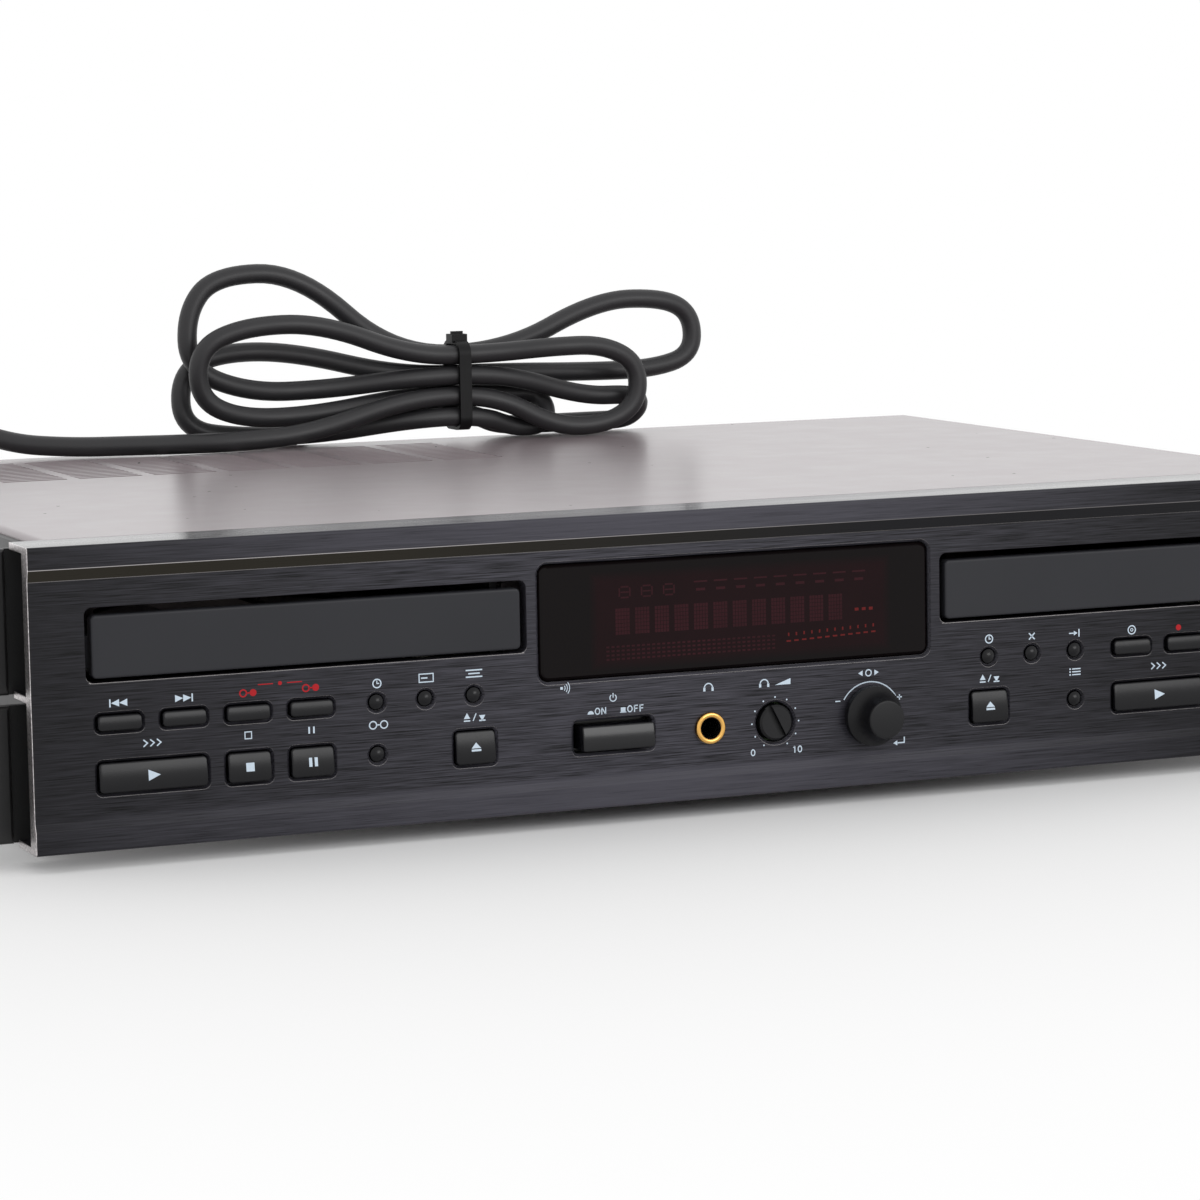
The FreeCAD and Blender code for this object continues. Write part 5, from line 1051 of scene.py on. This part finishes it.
class RECORDER_OT_drawers(bpy.types.Operator):
    """Make the drawer fronts and dress the trays and drives"""
    bl_idname = "recorder.make_drawers"
    bl_label = "Drawers"

    def execute(self, context):
        width, height, corner, edge, crown, proud = 130.6, 18.2, 1.5, 0.7, 0.0, 0.2
        for side, tag in SIDES:
            shape = cap_surface(side * 135.6, 58.6, width, height, corner, edge, crown,
                                FACE - proud, [(0, 4.8)])
            front = make_piece(f"drawer_front_{tag}", f"drawer_{tag}", *shape, finish("drawer"),
                               "doors", BLEND)
            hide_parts(f"tray_door_{tag}")
            dress("tray", f"disc_tray_{tag}")
            dress("gear", f"tray_gear_{tag}")
            dress("frame", f"drive_frame_{tag}", f"pickup_sled_{tag}")
            dress("platter", f"turntable_{tag}")
        return {"FINISHED"}


class RECORDER_OT_knobs(bpy.types.Operator):
    """Make the jog knob and dress the level knob, shaft and headphone socket"""
    bl_idname = "recorder.make_knobs"
    bl_label = "Knobs and jack"

    def execute(self, context):
        tip, back = FACE - 12, FACE - 1.1
        end, foot, edge = 5.95, 9.2, 0.6
        sweep = np.linspace(0, 1, 10)
        flare = end + 0.55 * sweep + (foot - 6.5) * sweep ** 3
        side = [(tip + 1 + (back - 2.4 - tip - 1) * s, r) for s, r in zip(sweep, flare)]
        profile = [(back, 0), (back, 3.2), (back, foot - 0.3), (back - 0.3, foot), *side[::-1],
                   *quarter(tip, end, edge)[1:], (tip, 0)]
        shape = lathe_surface(*JOG, profile, 64)
        knob = make_piece("jog_grip", "jog_knob", *shape, finish("knob"), "knobs", 35)
        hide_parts("jog_knob")
        dress("knob", "level_knob")
        dress("screw", "jog_shaft")
        dress("jack", "phones_jack")
        shape = bead_surface(*JACK, FACE - 0.95, 3.3, 4.78, 0.5)
        make_piece("jack_bead", "housing", *shape, finish("gold"), smooth=50)
        return {"FINISHED"}


class RECORDER_OT_housing(bpy.types.Operator):
    """Dress the cover, chassis, ears, feet, fasteners and what the housing holds"""
    bl_idname = "recorder.make_housing"
    bl_label = "Housing"

    def execute(self, context):
        dress("cover", "top_cover")
        dress("chassis", "bottom_chassis", "rear_panel")
        dress("ear", "rack_ear_left", "rack_ear_right")
        dress("foot", "feet")
        dress("screw", "case_screws")
        dress("board", "control_board", "main_board")
        dress("core", "mains_transformer")
        dress("socket", "rear_sockets")
        return {"FINISHED"}


# ---------- stage

SOFT_BOX_SIZE = (0.85, 0.46)
SOFT_BOX_PLACE = Vector((0.44, -1.25, 0.5))
SOFT_BOX_AIM = Vector((0, -0.1, 0.05))


def room_strength(nodes, settings):
    """White where it is seen, mirrored or looked through, and the room's strength otherwise."""
    path = nodes.add("LightPath").outputs
    seen = nodes.math("MAXIMUM", path["Is Camera Ray"], path["Is Glossy Ray"])
    clear = nodes.math("MAXIMUM", seen, path["Is Transmission Ray"])
    return nodes.range(clear, settings.world_strength, 1.0, 0, 1)


class RECORDER_OT_stage(bpy.types.Operator):
    """Make the camera, the pale floor and the soft light"""
    bl_idname = "recorder.make_stage"
    bl_label = "Stage"

    def execute(self, context):
        settings = context.scene.recorder_stage
        self.add_camera(context.scene, settings)
        self.add_floor(context.scene, settings)
        self.add_light(context.scene, settings)
        context.scene.view_settings.view_transform = "Standard"
        return {"FINISHED"}

    def add_camera(self, scene, settings):
        """Camera from its place and its three angles."""
        azimuth, elevation = settings.camera_azimuth, settings.camera_elevation
        roll = settings.camera_roll
        ahead = Vector((math.sin(azimuth) * math.cos(elevation),
                        math.cos(azimuth) * math.cos(elevation), math.sin(elevation)))
        level = Vector((math.cos(azimuth), -math.sin(azimuth), 0))
        rise = level.cross(ahead)
        right = level * math.cos(roll) + rise * math.sin(roll)
        up = rise * math.cos(roll) - level * math.sin(roll)
        camera = bpy.data.objects.new("photo_camera", bpy.data.cameras.new("photo_camera"))
        camera.data.lens = settings.camera_lens
        camera.data.sensor_width = 36
        turn = Matrix((right, up, -ahead)).transposed().to_4x4()
        camera.matrix_world = Matrix.Translation(settings.camera_place) @ turn
        scene.collection.objects.link(camera)
        scene.camera = camera

    def add_floor(self, scene, settings):
        """Wide pale floor at the height that the feet stand on; far off it is white as the room."""
        half, level, reach = 30.0, -0.0003, settings.floor_reach
        mesh = bpy.data.meshes.new("floor")
        corners = [(-half, -half), (half, -half), (half, half), (-half, half)]
        mesh.from_pydata([(x, y, level) for x, y in corners], [], [(0, 1, 2, 3)])
        floor = bpy.data.objects.new("floor", mesh)
        scene.collection.objects.link(floor)
        look = Look("Floor paper", specular=0.0, roughness=0.9)
        tone = look.group("grain", grain=900, patch=3)["Tone"]
        look.set(base_color=look.tones(tone, settings.floor_colour, 0.995, 1))
        far = look.vector("LENGTH", look.coords)
        blend = look.range(far, 0, 1, 0.15 * reach, reach, interpolation_type="SMOOTHSTEP")
        strength = room_strength(look, settings)
        white = look.add("Emission", {"Color": (1, 1, 1), "Strength": strength})
        both = look.add("MixShader", {0: blend, 1: look.shader.outputs[0], 2: white.outputs[0]})
        look.feed(look.tree.nodes["Material Output"].inputs["Surface"], both.outputs[0])
        mesh.materials.append(look.material)

    def add_light(self, scene, settings):
        """White room, seen as white, and a soft box in front."""
        scene.world = bpy.data.worlds.new("Room")
        scene.world.use_nodes = True
        nodes = Nodes(scene.world.node_tree)
        background = nodes.tree.nodes["Background"]
        nodes.feed(background.inputs["Color"], (1, 1, 1))
        nodes.feed(background.inputs["Strength"], room_strength(nodes, settings))
        lamp = bpy.data.lights.new("soft_box", "AREA")
        lamp.shape = "RECTANGLE"
        lamp.size, lamp.size_y = SOFT_BOX_SIZE
        lamp.energy = settings.lamp_power
        item = bpy.data.objects.new("soft_box", lamp)
        item.location = SOFT_BOX_PLACE
        item.rotation_euler = (SOFT_BOX_PLACE - SOFT_BOX_AIM).to_track_quat("Z", "Y").to_euler()
        scene.collection.objects.link(item)


# ---------- add-on

class RECORDER_PT_panel(bpy.types.Panel):
    """Lists the operators that make the recorder, with its settings"""
    bl_idname = "RECORDER_PT_panel"
    bl_label = "CD recorder"
    bl_space_type = "VIEW_3D"
    bl_region_type = "UI"
    bl_category = "Recorder"

    def draw(self, context):
        for operator in OPERATORS:
            self.layout.operator(operator.bl_idname)
        for name in SETTINGS:
            box = self.layout.box()
            box.label(text=name.removeprefix("recorder_").capitalize())
            group = getattr(context.scene, name)
            for setting in group.__annotations__:
                box.prop(group, setting)


SETTINGS = {"recorder_stage": RecorderStage, "recorder_finishes": RecorderFinishes,
            "recorder_lead": RecorderLead}
OPERATORS = (RECORDER_OT_stage, RECORDER_OT_lead, RECORDER_OT_panel, RECORDER_OT_keys,
             RECORDER_OT_display, RECORDER_OT_drawers, RECORDER_OT_knobs, RECORDER_OT_housing)
CLASSES = (*SETTINGS.values(), *OPERATORS, RECORDER_PT_panel)


def register():
    """Registers the settings, the operators and the panel."""
    for item in CLASSES:
        bpy.utils.register_class(item)
    for name, group in SETTINGS.items():
        setattr(bpy.types.Scene, name, PointerProperty(type=group))


def unregister():
    """Takes them away again."""
    for name in SETTINGS:
        delattr(bpy.types.Scene, name)
    for item in reversed(CLASSES):
        bpy.utils.unregister_class(item)


def main():
    """Makes the whole scene."""
    register()
    bpy.ops.recorder.make_stage()
    bpy.ops.recorder.make_lead()
    bpy.ops.recorder.make_panel()
    bpy.ops.recorder.make_keys()
    bpy.ops.recorder.make_display()
    bpy.ops.recorder.make_drawers()
    bpy.ops.recorder.make_knobs()
    bpy.ops.recorder.make_housing()


if __name__ == "__main__":
    main()
